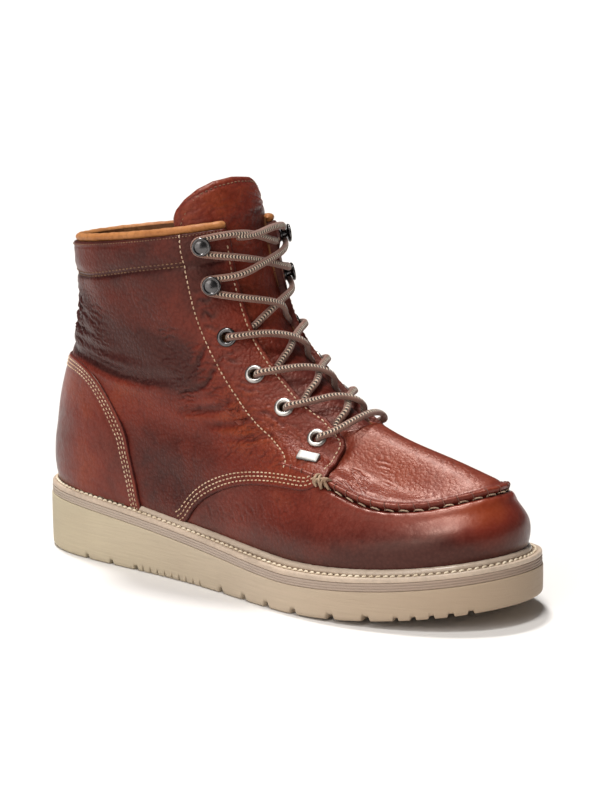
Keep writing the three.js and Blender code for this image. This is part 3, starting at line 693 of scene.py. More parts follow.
HEEL_X = (-0.074, -0.067)  # metres; where the bead turns pale, at the counter's foot


def plain(name, colour, vary=0.12, rough=0.6, scale=300.0, bump=0.05, metal=0.0, spec=0.5, coat=0.0, second=None, shade_colour=None, heel=None):
    m, nt, b = material(name)
    k = Net(nt)
    co = k.coords()
    n1, n2 = k.noise(co, scale, 4.0, 0.6), k.noise(co, scale / 9, 2.0)
    lo, hi = tuple(c * (1 - vary) for c in colour), second or tuple(min(1, c * (1 + vary)) for c in colour)
    col = k.ramp(k.math("MULTIPLY_ADD", n2.outputs["Fac"], 0.5, k.math("MULTIPLY", n1.outputs["Fac"], 0.5)), [(0.35, lo), (0.65, hi)])
    # painted shade, laid on by the dark attribute
    if shade_colour:
        col = k.mix(k.attr("dark"), col, shade_colour)
    if heel:
        sep = k.put("ShaderNodeSeparateXYZ")
        k.join(co, sep.inputs[0])
        col = k.mix(k.remap(sep.outputs[0], HEEL_X[0], HEEL_X[1], 0.92, 0.0), col, heel)
    k.join(col, b.inputs["Base Color"])
    k.join(k.remap(n1.outputs["Fac"], 0.3, 0.7, rough * 0.88, min(1, rough * 1.12)), b.inputs["Roughness"])
    k.join(k.bump(n1.outputs["Fac"], bump / 1000, 1.0), b.inputs["Normal"])
    b.inputs["Metallic"].default_value = metal
    b.inputs["Specular IOR Level"].default_value = spec
    b.inputs["Coat Weight"].default_value = coat
    b.inputs["Coat Roughness"].default_value = 0.25
    return m


def crepe(name, colour, heel, ribs, rough=0.62):
    """Sole rubber: fine lines along its side, little specks, a yellower heel, and painted shade making it darker and
    warmer towards the toe.
    """
    m, nt, b = material(name)
    k = Net(nt)
    co = k.coords()
    sep = k.put("ShaderNodeSeparateXYZ")
    k.join(co, sep.inputs[0])
    st = k.put("ShaderNodeMapping")
    st.inputs["Scale"].default_value = (0.05, 0.05, 1.0)
    k.join(co, st.inputs["Vector"])
    lines, fine, broad = k.noise(st.outputs[0], ribs, 3.0, 0.6), k.noise(co, 1500.0, 3.0, 0.7), k.noise(co, 36.0, 3.0)
    col = k.mix(k.remap(sep.outputs[0], -0.155, 0.02, 1.0, 0.0), colour, heel)
    col = k.mix(k.remap(lines.outputs["Fac"], 0.35, 0.7, 0.0, 0.30), col, tuple(c * 0.74 for c in colour))
    col = k.mix(k.remap(broad.outputs["Fac"], 0.4, 0.75, 0.0, 0.22), col, tuple(c * 0.8 for c in colour))
    col = k.mix(k.remap(fine.outputs["Fac"], 0.58, 0.75, 0.0, 0.5), col, tuple(c * 0.7 for c in colour))
    # painted shade: darker and warmer towards the toe
    col = k.mix(k.remap(sep.outputs[0], 0.02, 0.14, 0.0, 0.75), col, (colour[0] * 0.66, colour[1] * 0.58, colour[2] * 0.52))
    k.join(col, b.inputs["Base Color"])
    h = k.math("MULTIPLY_ADD", lines.outputs["Fac"], 1.0, k.math("MULTIPLY", fine.outputs["Fac"], 0.35))
    k.join(k.bump(h, 0.00035, 0.8), b.inputs["Normal"])
    k.join(k.remap(broad.outputs["Fac"], 0.3, 0.7, rough - 0.06, rough + 0.1), b.inputs["Roughness"])
    b.inputs["Specular IOR Level"].default_value = 0.35
    return m


def thread(name, colour, shade, twist=1900.0):
    m, nt, b = material(name)
    k = Net(nt)
    co = k.coords()
    n1, n2 = k.noise(co, twist, 2.0), k.noise(co, 90.0, 2.0)
    k.join(k.mix(k.remap(k.math("MULTIPLY_ADD", n2.outputs["Fac"], 0.7, k.math("MULTIPLY", n1.outputs["Fac"], 0.4)), 0.38, 0.72, 0.0, 1.0), shade, colour), b.inputs["Base Color"])
    k.join(k.bump(n1.outputs["Fac"], 0.0003, 0.8), b.inputs["Normal"])
    k.join(k.remap(n1.outputs["Fac"], 0.3, 0.7, 0.55, 0.75), b.inputs["Roughness"])
    return m


def lace_cloth(name):
    """Braided lace: a rib pattern from the way along and across, a dark and pale dashed middle line."""
    m, nt, b = material(name)
    k = Net(nt)
    s, w = k.attr("along"), k.attr("across")
    aw = k.math("ABSOLUTE", w)
    chev = k.math("SINE", k.math("MULTIPLY", k.math("MULTIPLY_ADD", aw, 1.0, s), 2 * PI / 0.95))
    dash = k.math("SINE", k.math("MULTIPLY", k.math("MULTIPLY_ADD", aw, 1.0, s), 2 * PI / 1.7))
    middle = k.remap(aw, 0.34, 0.44, 1.0, 0.0)
    co = k.coords()
    fuzz = k.noise(co, 2600.0, 2.0)
    broad = k.noise(co, 60.0, 2.0)
    side = k.mix(k.remap(broad.outputs["Fac"], 0.35, 0.65, 0.0, 1.0), (0.20, 0.095, 0.068), (0.29, 0.150, 0.108))
    # painted shade: the low sides of the ribs darkened
    side = k.mix(k.remap(chev, -1.0, 0.5, 0.6, 0.0), side, (0.16, 0.075, 0.05))
    line = k.mix(k.remap(dash, 0.0, 0.45, 0.0, 1.0), (0.022, 0.009, 0.007), (0.66, 0.50, 0.37))
    k.join(k.mix(middle, side, line), b.inputs["Base Color"])
    h = k.math("MULTIPLY_ADD", chev, 0.5, k.math("MULTIPLY", fuzz.outputs["Fac"], 0.5))
    k.join(k.bump(h, 0.00028, 0.9), b.inputs["Normal"])
    k.join(k.remap(fuzz.outputs["Fac"], 0.3, 0.7, 0.6, 0.8), b.inputs["Roughness"])
    b.inputs["Sheen Weight"].default_value = 0.2
    return m


# the fourth colour here is a painted highlight, a pinkish sheen laid on the grain's tops
PURPLE, RED, WARM_AND_LIT, PAINTED_SHEEN = (0.036, 0.0065, 0.0062), (0.140, 0.0180, 0.0100), (0.255, 0.043, 0.0110), (0.34, 0.13, 0.10)
M_UPPER = leather("upper_leather", RED, PURPLE, WARM_AND_LIT, PAINTED_SHEEN, grain=0.42, spec=0.34)
M_WALL = leather("wall_leather", RED, PURPLE, WARM_AND_LIT, PAINTED_SHEEN, grain=0.16, rough=0.34, coat=0.30, spec=0.48, ripple=0.5, mottle=0.7)
M_PLUG = leather("plug_leather", RED, PURPLE, WARM_AND_LIT, PAINTED_SHEEN, grain=0.24, rough=0.40, coat=0.25, spec=0.58, ripple=0.8, mottle=0.6)
M_COUNTER = leather("counter_leather", RED, PURPLE, WARM_AND_LIT, PAINTED_SHEEN, grain=0.12, rough=0.34, coat=0.3)
M_TONGUE = leather("tongue_leather", RED, PURPLE, WARM_AND_LIT, PAINTED_SHEEN, grain=0.42, cell=430.0, rough=0.42)
M_LINING = leather("lining_leather", (0.20, 0.085, 0.035), (0.10, 0.038, 0.018), (0.30, 0.13, 0.05), (0.35, 0.2, 0.1), grain=0.10, rough=0.6, coat=0.0, attr=False)
M_BINDING = leather("binding_leather", (0.42, 0.17, 0.055), (0.27, 0.095, 0.03), (0.52, 0.23, 0.085), (0.6, 0.33, 0.16), grain=0.08, rough=0.5, coat=0.05, attr=False)
M_INSOLE = leather("insole_leather", (0.36, 0.20, 0.10), (0.24, 0.12, 0.06), (0.45, 0.27, 0.14), (0.5, 0.33, 0.2), grain=0.08, rough=0.62, coat=0.0, attr=False)
M_SOLE = crepe("outsole_crepe", (0.535, 0.435, 0.325), (0.50, 0.435, 0.295), 900.0)
M_MID = crepe("midsole_strip", (0.46, 0.37, 0.305), (0.45, 0.37, 0.295), 1500.0, rough=0.55)
M_WELT = plain("welt_leather", (0.52, 0.41, 0.315), 0.16, 0.5, 420.0, 0.10, shade_colour=(0.33, 0.245, 0.175))
M_BEAD = plain("bead_leather", (0.46, 0.36, 0.275), 0.12, 0.33, 300.0, 0.05, coat=0.3, second=(0.52, 0.42, 0.33), heel=(0.10, 0.065, 0.038))
M_THREAD = thread("stitch_thread", (0.78, 0.60, 0.42), (0.42, 0.25, 0.14))
M_THREAD_D = thread("moc_pull_thread", (0.22, 0.09, 0.06), (0.12, 0.035, 0.025))
M_THREAD_M = thread("moc_thread", (0.66, 0.49, 0.34), (0.10, 0.045, 0.026))
M_TACK = thread("tack_thread", (0.56, 0.40, 0.27), (0.20, 0.11, 0.06))
M_THREAD_W = thread("welt_thread", (0.88, 0.77, 0.60), (0.62, 0.49, 0.34))
M_THREAD_C = thread("collar_thread", (0.30, 0.16, 0.075), (0.09, 0.035, 0.02))
M_LACE = lace_cloth("lace_textile")
M_EYELET = plain("eyelet_metal", (0.48, 0.46, 0.43), 0.3, 0.34, 500.0, 0.02, metal=1.0)
M_EYELET3 = plain("eyelet_metal_worn", (0.40, 0.38, 0.36), 0.3, 0.32, 500.0, 0.02, metal=1.0)
M_HOOK = plain("hook_metal", (0.115, 0.11, 0.11), 0.35, 0.24, 400.0, 0.02, metal=1.0)
M_PLATE = plain("plate_metal", (0.30, 0.29, 0.275), 0.3, 0.50, 250.0, 0.02, metal=1.0)
M_DARK = plain("barrel_metal", (0.05, 0.04, 0.035), 0.3, 0.45, 400.0, 0.02, metal=1.0)

# ---------------------------------------------------------------- lines on the boot
EYELETS = [(148.4, 8.1), (146.1, 9.07), (143.9, 10.09), (140.4, 11.2)]
HOOKS = [(142.0, 12.5), (140.8, 13.47)]
SEAM_K = [(106, 4.72), (112, 4.52), (117.8, 4.32), (124.3, 4.02), (131.1, 3.84), (138.4, 3.90), (146.9, 4.14), (157, 4.34), (168.1, 4.20), (180, 4.06)]
SEAM = curve(SEAM_K + [(360 - a, b) for a, b in SEAM_K[-2::-1]], 0.8)
LOWER = curve([(76.6, 0.45), (78.5, 0.85), (80.5, 1.55), (83.9, 2.36), (88.1, 2.94), (94.1, 3.39), (99.7, 3.59), (105.3, 3.69), (110.7, 3.74), (115.0, 3.90), (118.3, 4.34)], 0.8)
FRONT = curve([(118.3, 4.34), (119.4, 4.80), (122.7, 5.42), (131.5, 6.35), (141.6, 7.06), (150.6, 7.50), (155.8, 7.70), (158.6, 7.88), (160.0, 8.14), (161.0, 8.55)], 0.8)


def throat_theta(v, half=16.5):
    """Angle on the lateral side where the form is half wide, at the front of row v."""
    lo, hi = np.full(np.shape(v), 110 * D2R), np.full(np.shape(v), PI)
    for _ in range(40):
        m = (lo + hi) / 2
        wide = np.abs(form(m, v)[..., 1]) > half
        lo, hi = np.where(wide, m, lo), np.where(wide, hi, m)
    return (lo + hi) / 2


_tv = np.linspace(8.7, 14.0, 60)
THROAT_L = np.stack([throat_theta(_tv), _tv], 1)


def rim_v(th):
    d = np.linalg.norm(form(th, TOP) - form(th, TOP - 0.1), axis=-1) / 0.1
    return TOP - 2.6 / d


RIM_END = THROAT_L[-1, 0]
_rt = np.linspace(RIM_END, 0.0, 120)
_gap = 0.0022
QUARTER = np.vstack([
    np.stack([np.linspace(_gap, 76.4 * D2R, 60), np.full(60, 0.42)], 1), LOWER, FRONT[1:], THROAT_L[1:-4],
    np.stack([_rt, rim_v(_rt)], 1)[2:], np.stack([np.full(80, _gap), np.linspace(13.6, 0.42, 80)], 1)[:-1]])
BOOT_Q = [QUARTER, mirror(QUARTER)[::-1]]
COLLAR = curve([(0, 11.5), (20, 11.66), (41, 11.93), (62, 12.32), (82.9, 12.68), (111.5, 12.95), (128.7, 13.02)], 0.8)
COLLAR_F = curve([(0, 11.5), (20, 11.66), (41, 11.93), (62, 12.32), (82.9, 12.68), (111.5, 12.95), (128.7, 13.02), (142, 13.05), (152, 13.06)], 0.8)
EYESTAY = curve([(128.9, 13.86), (128.7, 13.47), (128.9, 12.96), (128.1, 12.15), (126.7, 10.78), (124.9, 9.41), (121.4, 8.3), (117.1, 7.23), (113.6, 6.4), (111.0, 5.6), (108.6, 4.95), (107.0, 4.42)], 0.8)
CF = [(0.42, 64.6), (1.3, 64.1), (2.34, 63.3), (3.21, 62.7), (4.2, 61.9), (4.89, 61.1), (5.54, 59.9), (6.15, 58.4), (6.72, 56.0), (7.2, 52.4), (7.46, 48.6), (7.58, 44.2), (7.58, 38.5), (7.48, 32.0), (7.24, 21.0), (7.08, 9.0), (7.05, 0.0)]
COUNTER_EDGE = curve([(a, b) for b, a in CF], 0.8)
_ce = COUNTER_EDGE.copy()
COUNTER = np.vstack([_ce, np.stack([-_ce[::-1, 0], _ce[::-1, 1]], 1)[1:], np.stack([np.linspace(-64.6, 64.6, 90) * D2R, np.full(90, 0.42)], 1)[1:-1]])

# ---------------------------------------------------------------- creases, placed in the boot's own sizes
CR_QUARTER = Creases()
# the deep fold over the ankle and those beside it
CR_QUARTER.add([(6, 8.05), (18, 7.85), (30, 7.85), (44, 8.05), (58, 8.15), (72, 8.35), (86, 8.75), (98, 9.2)], 1.1, 3.0, 0.6)
CR_QUARTER.add([(20, 8.6), (34, 8.5), (48, 8.75), (62, 9.05), (74, 9.5)], 0.6, 2.2, 0.5)
CR_QUARTER.add([(4, 8.9), (16, 9.1), (28, 9.0), (42, 9.3), (54, 9.7)], 0.65, 1.7, 0.5)
CR_QUARTER.add([(2, 9.6), (14, 9.75), (26, 9.6), (38, 9.9)], 0.6, 1.5, 0.5)
CR_QUARTER.add([(3, 10.3), (15, 10.35), (27, 10.2), (40, 10.35), (56, 10.2)], 0.5, 1.5, 0.5)
CR_QUARTER.add([(6, 10.85), (18, 10.9), (30, 10.7), (44, 10.95)], 0.4, 1.3, 0.5)
# from the ankle towards the lowest eyelets
CR_QUARTER.add([(84, 7.1), (96, 7.5), (108, 8.1), (118, 8.8), (128, 9.4)], 0.55, 2.0, 0.5)
CR_QUARTER.add([(92, 6.5), (102, 6.9), (112, 7.5), (121, 8.1), (131, 8.7)], 0.5, 1.7, 0.5)
CR_QUARTER.add([(96, 5.9), (106, 6.3), (115, 6.9), (124, 7.45)], 0.5, 1.5, 0.5)
CR_QUARTER.add([(100, 8.7), (110, 9.2), (120, 9.9), (130, 10.5)], 0.55, 1.5, 0.5)
CR_QUARTER.add([(104, 9.5), (114, 10.1), (123, 10.7), (131, 11.1)], 0.5, 1.4, 0.5)
for i, (a, v0, l) in enumerate([(128, 9.55, 12), (131, 9.75, 10), (129, 10.45, 12), (132, 10.7, 9), (129, 11.4, 11), (131, 11.75, 9), (131, 12.15, 9), (130, 8.7, 12), (132, 8.45, 9)]):
    CR_QUARTER.add([(a, v0), (a + l * 0.35, v0 + 0.06 + 0.05 * (i % 3)), (a + l * 0.7, v0 + 0.02), (a + l, v0 + 0.14)], 0.45, 1.05, 0.5)
for sd, (a, b, n, ang, ln, dp, wd) in enumerate([
    ((1, 8.2), (1, 11.0), 24, (14, -6), (12, 24), (0.16, 0.36), (0.45, 0.75)),
    ((14, 8.3), (16, 11.1), 26, (10, -8), (10, 22), (0.12, 0.30), (0.42, 0.72)),
    ((30, 8.4), (32, 11.0), 26, (8, -4), (10, 20), (0.09, 0.24), (0.42, 0.72)),
    ((50, 8.5), (52, 11.0), 24, (8, 0), (10, 20), (0.07, 0.18), (0.42, 0.75)),
    ((84, 6.2), (98, 11.2), 34, (26, 14), (10, 22), (0.08, 0.22), (0.42, 0.72)),
    ((98, 5.2), (112, 10.8), 44, (34, 16), (9, 20), (0.13, 0.30), (0.40, 0.70)),
    ((112, 5.9), (124, 11.0), 36, (36, 18), (7, 14), (0.08, 0.22), (0.38, 0.65)),
    ((90, 4.6), (110, 4.6), 12, (52, 44), (8, 16), (0.12, 0.28), (0.5, 0.8)),
    ((128, 8.3), (130, 12.4), 22, (16, 8), (8, 15), (0.08, 0.22), (0.42, 0.68)),
    ((68, 1.0), (88, 2.6), 14, (70, 58), (6, 12), (0.05, 0.13), (0.5, 0.8)),
]):
    CR_QUARTER.family(100 + sd, a, b, n, ang, ln, dp, wd)
CR_QUARTER.scatter(14, 60, (88, 156), (5.0, 12.0), 60, 40, (2, 6), (0.06, 0.18), (0.4, 0.65))
CR_QUARTER.scatter(17, 60, (2, 60), (8.1, 11.4), 70, 35, (2, 6), (0.06, 0.18), (0.4, 0.65))
CR_MED = Creases()
for i in range(15):
    v0 = 8.3 + 0.30 * i
    CR_MED.add([(226 + 4 * (i % 2), v0 + 0.05), (238, v0 + 0.12 * math.sin(i)), (252, v0 + 0.06), (268 - 5 * (i % 3), v0 - 0.12)], 0.75, 1.25, 0.6)
CR_MED.add([(266, 8.7), (282, 8.3), (300, 8.1), (318, 7.9), (340, 7.9)], 0.9, 2.8, 0.6)
for sd, (a, b, n, ang, ln, dp, wd) in enumerate([
    ((359, 8.2), (359, 11.0), 24, (166, 186), (12, 24), (0.16, 0.36), (0.45, 0.75)),
    ((344, 8.3), (344, 11.1), 26, (170, 188), (10, 22), (0.12, 0.30), (0.42, 0.72)),
    ((328, 8.4), (328, 11.0), 26, (172, 184), (10, 20), (0.09, 0.24), (0.42, 0.72)),
    ((308, 8.5), (308, 11.0), 20, (174, 184), (10, 20), (0.06, 0.16), (0.42, 0.75)),
    ((276, 6.2), (262, 11.2), 34, (154, 166), (10, 22), (0.08, 0.22), (0.42, 0.72)),
    ((262, 5.2), (248, 10.8), 44, (146, 164), (9, 20), (0.10, 0.26), (0.40, 0.70)),
    ((232, 8.3), (230, 12.4), 22, (164, 172), (8, 15), (0.08, 0.22), (0.42, 0.68)),
]):
    CR_MED.family(200 + sd, a, b, n, ang, ln, dp, wd)
CR_MED.scatter(23, 60, (204, 272), (5.0, 12.0), 120, 40, (2, 6), (0.06, 0.18), (0.4, 0.65))
CR_PLUG = Creases()
for sgn, base in ((1, 180), (-1, 180)):
    f = lambda x: base + sgn * (x - 180)
    ang = lambda p, q: (p, q) if sgn > 0 else (180 - p, 180 - q)
    CR_PLUG.family(310 + sgn, (f(120), 4.7), (f(146), 7.0), 22, ang(-28, -34), (9, 17), (0.10, 0.24), (0.42, 0.7))
    CR_PLUG.family(320 + sgn, (f(133), 5.0), (f(160), 7.2), 18, ang(-30, -40), (6, 12), (0.06, 0.16), (0.4, 0.65))
    CR_PLUG.scatter(330 + sgn, 70, (f(160), f(120)) if sgn < 0 else (120, 160), (4.6, 7.4), 60, 40, (2, 5), (0.04, 0.10), (0.38, 0.6))
CR_WALL = Creases()
CR_WALL.family(41, (84, 2.2), (116, 3.9), 20, (-50, -64), (6, 13), (0.07, 0.16), (0.42, 0.7))
CR_WALL.family(42, (276, 2.2), (244, 3.9), 20, (230, 244), (6, 13), (0.07, 0.16), (0.42, 0.7))
CR_WALL.scatter(43, 70, (84, 128), (1.6, 3.8), 40, 50, (2, 6), (0.03, 0.09), (0.4, 0.6))


def blobs(P, spots):
    """Sum of soft spots: (theta, v, radius, amount)."""
    out = np.zeros(len(P))
    for a, v, rad, amt in spots:
        out += amt * np.exp(-(((P - form(a * D2R, v)) / rad) ** 2).sum(1))
    return out


# spots of painted shade and painted light with the leather's own patches: dark over the ankle fold is painted shade
# under its overhang, the warm band just below it is painted light where the leather turns up, and the broad dark spots
# high on the shaft are painted shade
QUARTER_SHADING_AND_TONE = [(20, 9.4, 24, -0.95), (44, 9.3, 22, -0.95), (62, 8.9, 20, -1.0), (82, 9.3, 16, -0.55), (6, 8.6, 16, -0.5), (120, 13.6, 26, -0.35), (92, 9.2, 17, -1.1), (105, 9.6, 13, -0.7), (75, 9.0, 16, -0.5), (90, 12.0, 34, -0.3),
         (66, 10.9, 18, 0.35), (46, 11.3, 14, 0.30), (84, 11.4, 16, 0.2), (104, 11.3, 16, -0.1), (70, 12.8, 46, -0.40), (40, 10.4, 44, -0.30),
         (44, 7.2, 15, 0.8), (62, 7.35, 14, 1.0), (78, 7.45, 14, 0.85), (94, 7.4, 13, 0.35),
         (70, 4.4, 26, -0.62), (80, 2.6, 20, -0.6), (72, 1.2, 22, -0.55), (88, 5.6, 18, -0.2),
         (103, 6.4, 16, 0.25), (112, 5.4, 14, 0.3), (60, 13.4, 18, 0.12), (22, 13.3, 16, 0.22), (100, 13.2, 14, -0.1),
         (138, 12.6, 13, -0.65), (134, 13.5, 10, -0.6), (130, 11.9, 9, -0.15), (136, 9.6, 16, 0.05)]
QUARTER_SHADING_AND_TONE_M = [(360 - a, b, c, d) for a, b, c, d in QUARTER_SHADING_AND_TONE]
# warm spots high on the toe wall: its burnish together with painted highlight; dark spots at its foot: burnish together
# with painted shade
WALL_SHADING_AND_TONE = [(172, 3.0, 13, 1.0), (160, 3.2, 14, 0.85), (148, 3.35, 14, 0.6), (137, 3.2, 14, 0.35), (120, 2.9, 22, 0.35), (104, 2.9, 18, 0.25),
             (190, 3.1, 16, 0.5), (178, 1.4, 30, -0.95), (150, 0.5, 25, -1.15), (128, 0.4, 27, -1.1), (104, 0.4, 27, -0.9), (84, 1.2, 18, -0.7), (140, 1.6, 20, -0.35), (115, 1.6, 20, -0.3),
             (210, 3.1, 20, 0.6), (230, 2.9, 22, 0.35), (205, 0.7, 26, -0.7), (240, 0.6, 30, -0.6)]
# the broad warm spot over the plug's middle is a painted highlight, a sheen
PLUG_SHEEN_AND_TONE = [(150, 6.2, 34, 0.3), (172, 4.5, 14, 0.3), (130, 5.1, 10, -0.15)]


def puff(Q):
    """How far a point is above the collar's stitch row, measured in v, and its angle folded onto the lateral side."""
    th = np.where(Q[:, 0] > PI, 2 * PI - Q[:, 0], Q[:, 0])
    row = np.interp(th, COLLAR_F[:, 0], COLLAR_F[:, 1])
    return Q[:, 1] - row, th


def quarter_height(Q, P, phi):
    h = np.full(len(Q), 1.6)
    th = np.where(Q[:, 0] > PI, 2 * PI - Q[:, 0], Q[:, 0])
    h = h + 1.0 * np.exp(-((Q[:, 1] - 8.5) / 1.5) ** 2) * smooth((th - 110 * D2R) / (25 * D2R))
    return h


def make_quarter(side):
    med = side == "med"
    collar3 = mirror(COLLAR_F) if med else COLLAR_F
    stay3 = mirror(EYESTAY) if med else EYESTAY
    C3, S3 = form(collar3[:, 0], collar3[:, 1]), form(stay3[:, 0], stay3[:, 1])

    def shape(Q, P, phi):
        dv, th = puff(Q)
        d, _, _ = nearest(P, C3)
        up = np.where(dv > 0, 1.0, 0.0)
        out = (CR_MED if med else CR_QUARTER)(P) * smooth(phi / 5) * (1 - 0.75 * up * smooth((dv) / 0.2))
        # padded collar: a groove along its stitches, soft swell over and under it
        out += -0.75 * np.exp(-(d / 1.3) ** 2) + up * 1.5 * smooth(d / 7) * (1 - 0.55 * smooth((Q[:, 1] - 13.4) / 0.6)) + (1 - up) * 0.35 * np.exp(-((d - 4) / 3) ** 2)
        e, _, _ = nearest(P, S3)
        out += -0.30 * np.exp(-(e / 0.9) ** 2) + 0.12 * np.exp(-((e - 2.2) / 1.1) ** 2)
        # the cut edge swells a little beside its stitches
        out += 0.18 * np.exp(-((phi - 1.4) / 0.9) ** 2) - 0.22 * np.exp(-((phi - 2.6) / 0.6) ** 2)
        # broad hollows of worn-in leather
        out += 0.5 * np.sin(Q[:, 0] * 7 + 1.3) * np.sin(Q[:, 1] * 1.9 + Q[:, 0] * 2.1) * smooth(phi / 12)
        return out

    def paint(Q, P, phi):
        t = blobs(P, QUARTER_SHADING_AND_TONE_M if med else QUARTER_SHADING_AND_TONE)
        c = (CR_MED if med else CR_QUARTER)(P)
        # painted shade in the creases' troughs and painted light on their banks; also darker along the cut edge
        t = t + np.clip(c * 0.9, -0.5, 0.3) - 0.6 * np.exp(-(phi / 0.9) ** 2)
        d, _, _ = nearest(P, C3)
        # painted shade in the groove along the collar's stitches
        t = t - 0.5 * np.exp(-(d / 1.6) ** 2)
        g = 0.75 + blobs(P, [(112, 6.6, 26, 0.45), (24, 9.6, 26, 0.2), (132, 10.0, 18, 0.3), (70, 2.6, 26, -0.25), (60, 13.3, 22, -0.35), (20, 13.3, 22, -0.35)])
        return {"tone": np.clip(t, -1.3, 1.2), "grain": np.clip(g, 0.15, 1.4)}

    holes = [((360 - a if med else a, b), 2.9) for a, b in EYELETS]
    poly = BOOT_Q[1] if med else BOOT_Q[0]
    return panel("quarter_" + side, (194, 360) if med else (0, 166), (0.35, TOP), poly, round_holes=holes, height=quarter_height, r=0.75, bottom=-2.5,
                 step=0.92, shape=shape, paint=paint, mat=M_UPPER, node="upper" if not med else (), slot="upper_leather")


make_quarter("lat")
make_quarter("med")

# ---------------------------------------------------------------- vamp: wall and plug, sewn at the moc seam
S3 = form(SEAM[:, 0], SEAM[:, 1])
F3, F3M = form(FRONT[:, 0], FRONT[:, 1]), form(*mirror(FRONT).T)


def wall_shape(Q, P, phi):
    d, _, pos = nearest(P, S3)
    pull = np.cos(2 * PI * pos / 7.2)
    out = CR_WALL(P) - (2.2 + 0.2 * pull) * np.exp(-(d / 1.7) ** 2) + 0.60 * np.exp(-((d - 4.2) / 2.6) ** 2) + 0.12 * pull * np.exp(-((d - 2.4) / 1.4) ** 2)
    return out


def wall_paint(Q, P, phi):
    d, _, _ = nearest(P, S3)
    # painted shade in the groove beside the moc seam and in the creases' troughs, painted light on their banks
    t = blobs(P, WALL_SHADING_AND_TONE) + np.clip(CR_WALL(P) * 1.2, -0.4, 0.3) - 1.1 * np.exp(-(d / 1.7) ** 2)
    front = smooth((Q[:, 0] - 112 * D2R) / (26 * D2R)) * smooth((248 * D2R - Q[:, 0]) / (26 * D2R))
    return {"tone": np.clip(t, -1.4, 1.2), "grain": np.clip(0.75 - 0.52 * front, 0.1, 1)}


_wt = np.vstack([np.stack([np.linspace(64, 296, 200) * D2R, np.full(200, 0.42)], 1), [[296 * D2R, 4.5]], beside(SEAM[::-1], -0.5), [[64 * D2R, 4.5]]])
panel("vamp_wall", (63, 297), (0.36, 4.95), _wt, height=0.35, r=0.5, bottom=-3.2, step=1.0, shape=wall_shape, paint=wall_paint, mat=M_WALL, slot="upper_leather")

_back = curve([(254, 4.72), (256, 6.3), (246, 8.6), (232, 9.2), (214, 8.9), (203, 8.45), (194, 8.05), (187, 7.96), (180, 7.93), (173, 7.96), (166, 8.05), (157, 8.45), (146, 8.9), (128, 9.2), (114, 8.6), (104, 6.3), (106, 4.72)], 1.0)
PLUG = np.vstack([SEAM, _back[1:-1]])


def plug_height(Q, P, phi):
    d, _, pos = nearest(P, S3)
    return 0.8 + 1.55 * np.exp(-((d - 1.25) / 1.35) ** 2) - 0.35 * np.exp(-((d - 4.4) / 1.5) ** 2)


def plug_shape(Q, P, phi):
    d, _, pos = nearest(P, S3)
    pull = np.cos(2 * PI * pos / 7.2)
    under = smooth((Q[:, 1] - 7.2) / 0.8) * smooth((np.abs(Q[:, 0] - PI) - 24 * D2R) / (10 * D2R))
    return CR_PLUG(P) * smooth((d - 1) / 4) - 0.28 * (0.5 + 0.5 * pull) * np.exp(-((d - 0.9) / 1.3) ** 2) - 1.0 * under - 1.1 * np.exp(-(np.minimum(nearest(P, F3)[0], nearest(P, F3M)[0]) / 2.8) ** 2) * smooth((Q[:, 1] - 4.7) / 0.5)


def plug_paint(Q, P, phi):
    d, _, pos = nearest(P, S3)
    # painted shade at the seam's groove and in the dip beside it, painted shade and light in the creases
    t = blobs(P, PLUG_SHEEN_AND_TONE) + np.clip(CR_PLUG(P) * 1.1, -0.4, 0.3) + 0.10 - 0.55 * np.exp(-(d / 0.8) ** 2) - 0.35 * np.exp(-((d - 4.2) / 1.6) ** 2)
    return {"tone": np.clip(t, -1.2, 1.2), "grain": np.clip(0.85 - 0.5 * smooth((15 - np.abs(Q[:, 0] / D2R - 180)) / 12) * smooth((6 - Q[:, 1]) / 2), 0.2, 1.2)}


panel("vamp_plug", (103, 257), (3.7, 9.4), PLUG, height=plug_height, r=1.15, bottom=-2.6, step=0.9, shape=plug_shape, paint=plug_paint, mat=M_PLUG, slot="upper_leather")


# ---------------------------------------------------------------- heel counter
def counter_shape(Q, P, phi):
    return 0.22 * np.exp(-((phi - 1.2) / 0.8) ** 2) - 0.12 * np.exp(-((phi - 7.6) / 1.0) ** 2) + 0.25 * np.sin(Q[:, 0] * 5) * np.sin(Q[:, 1] * 1.1) * smooth(phi / 12)


def counter_paint(Q, P, phi):
    t = blobs(P, [(30, 6.2, 14, 0.5), (20, 4.2, 20, -0.25), (44, 1.6, 16, 0.3), (20, 1.6, 16, -0.35), (0, 4.5, 14, -0.4), (330, 6.2, 14, 0.5), (340, 3.0, 24, -0.2), (48, 5.8, 10, 0.25), (57, 2.6, 10, -0.3)])
    return {"tone": np.clip(t - 0.15 + 0.5 * np.exp(-((phi - 0.7) / 0.6) ** 2) - 0.9 * np.exp(-(phi / 0.5) ** 2), -1.2, 1.2), "grain": np.full(len(Q), 0.55)}


panel("heel_counter_cover", (-67, 67), (0.36, 7.8), COUNTER, height=3.0, r=0.85, bottom=0.6, step=1.0, shape=counter_shape, paint=counter_paint,
      mat=M_COUNTER, node="heel_counter", slot="counter_leather")

# ---------------------------------------------------------------- lining
_tb = curve([(158, 8.5), (166, 8.1), (173, 7.98), (180, 7.95), (187, 7.98), (194, 8.1), (202, 8.5)], 1.0)
THROAT = np.vstack([_tb, mirror(THROAT_L), [[2 * PI - RIM_END, 15.0], [RIM_END, 15.0]], THROAT_L[::-1]])


def lining_height(Q, P, phi):
    return -(2.55 + 0.9 * smooth((Q[:, 1] - 11) / 2.2))


panel("lining", (0, 360), (0.05, TOP), None, holes=[THROAT], height=lining_height, r=0.4, bottom=-1.6, step=2.2,
      mat=M_LINING, flip=True, slot="upper_leather")

# ---------------------------------------------------------------- rolled binding
_bt = np.linspace(-RIM_END + 0.012, RIM_END - 0.012, 420)


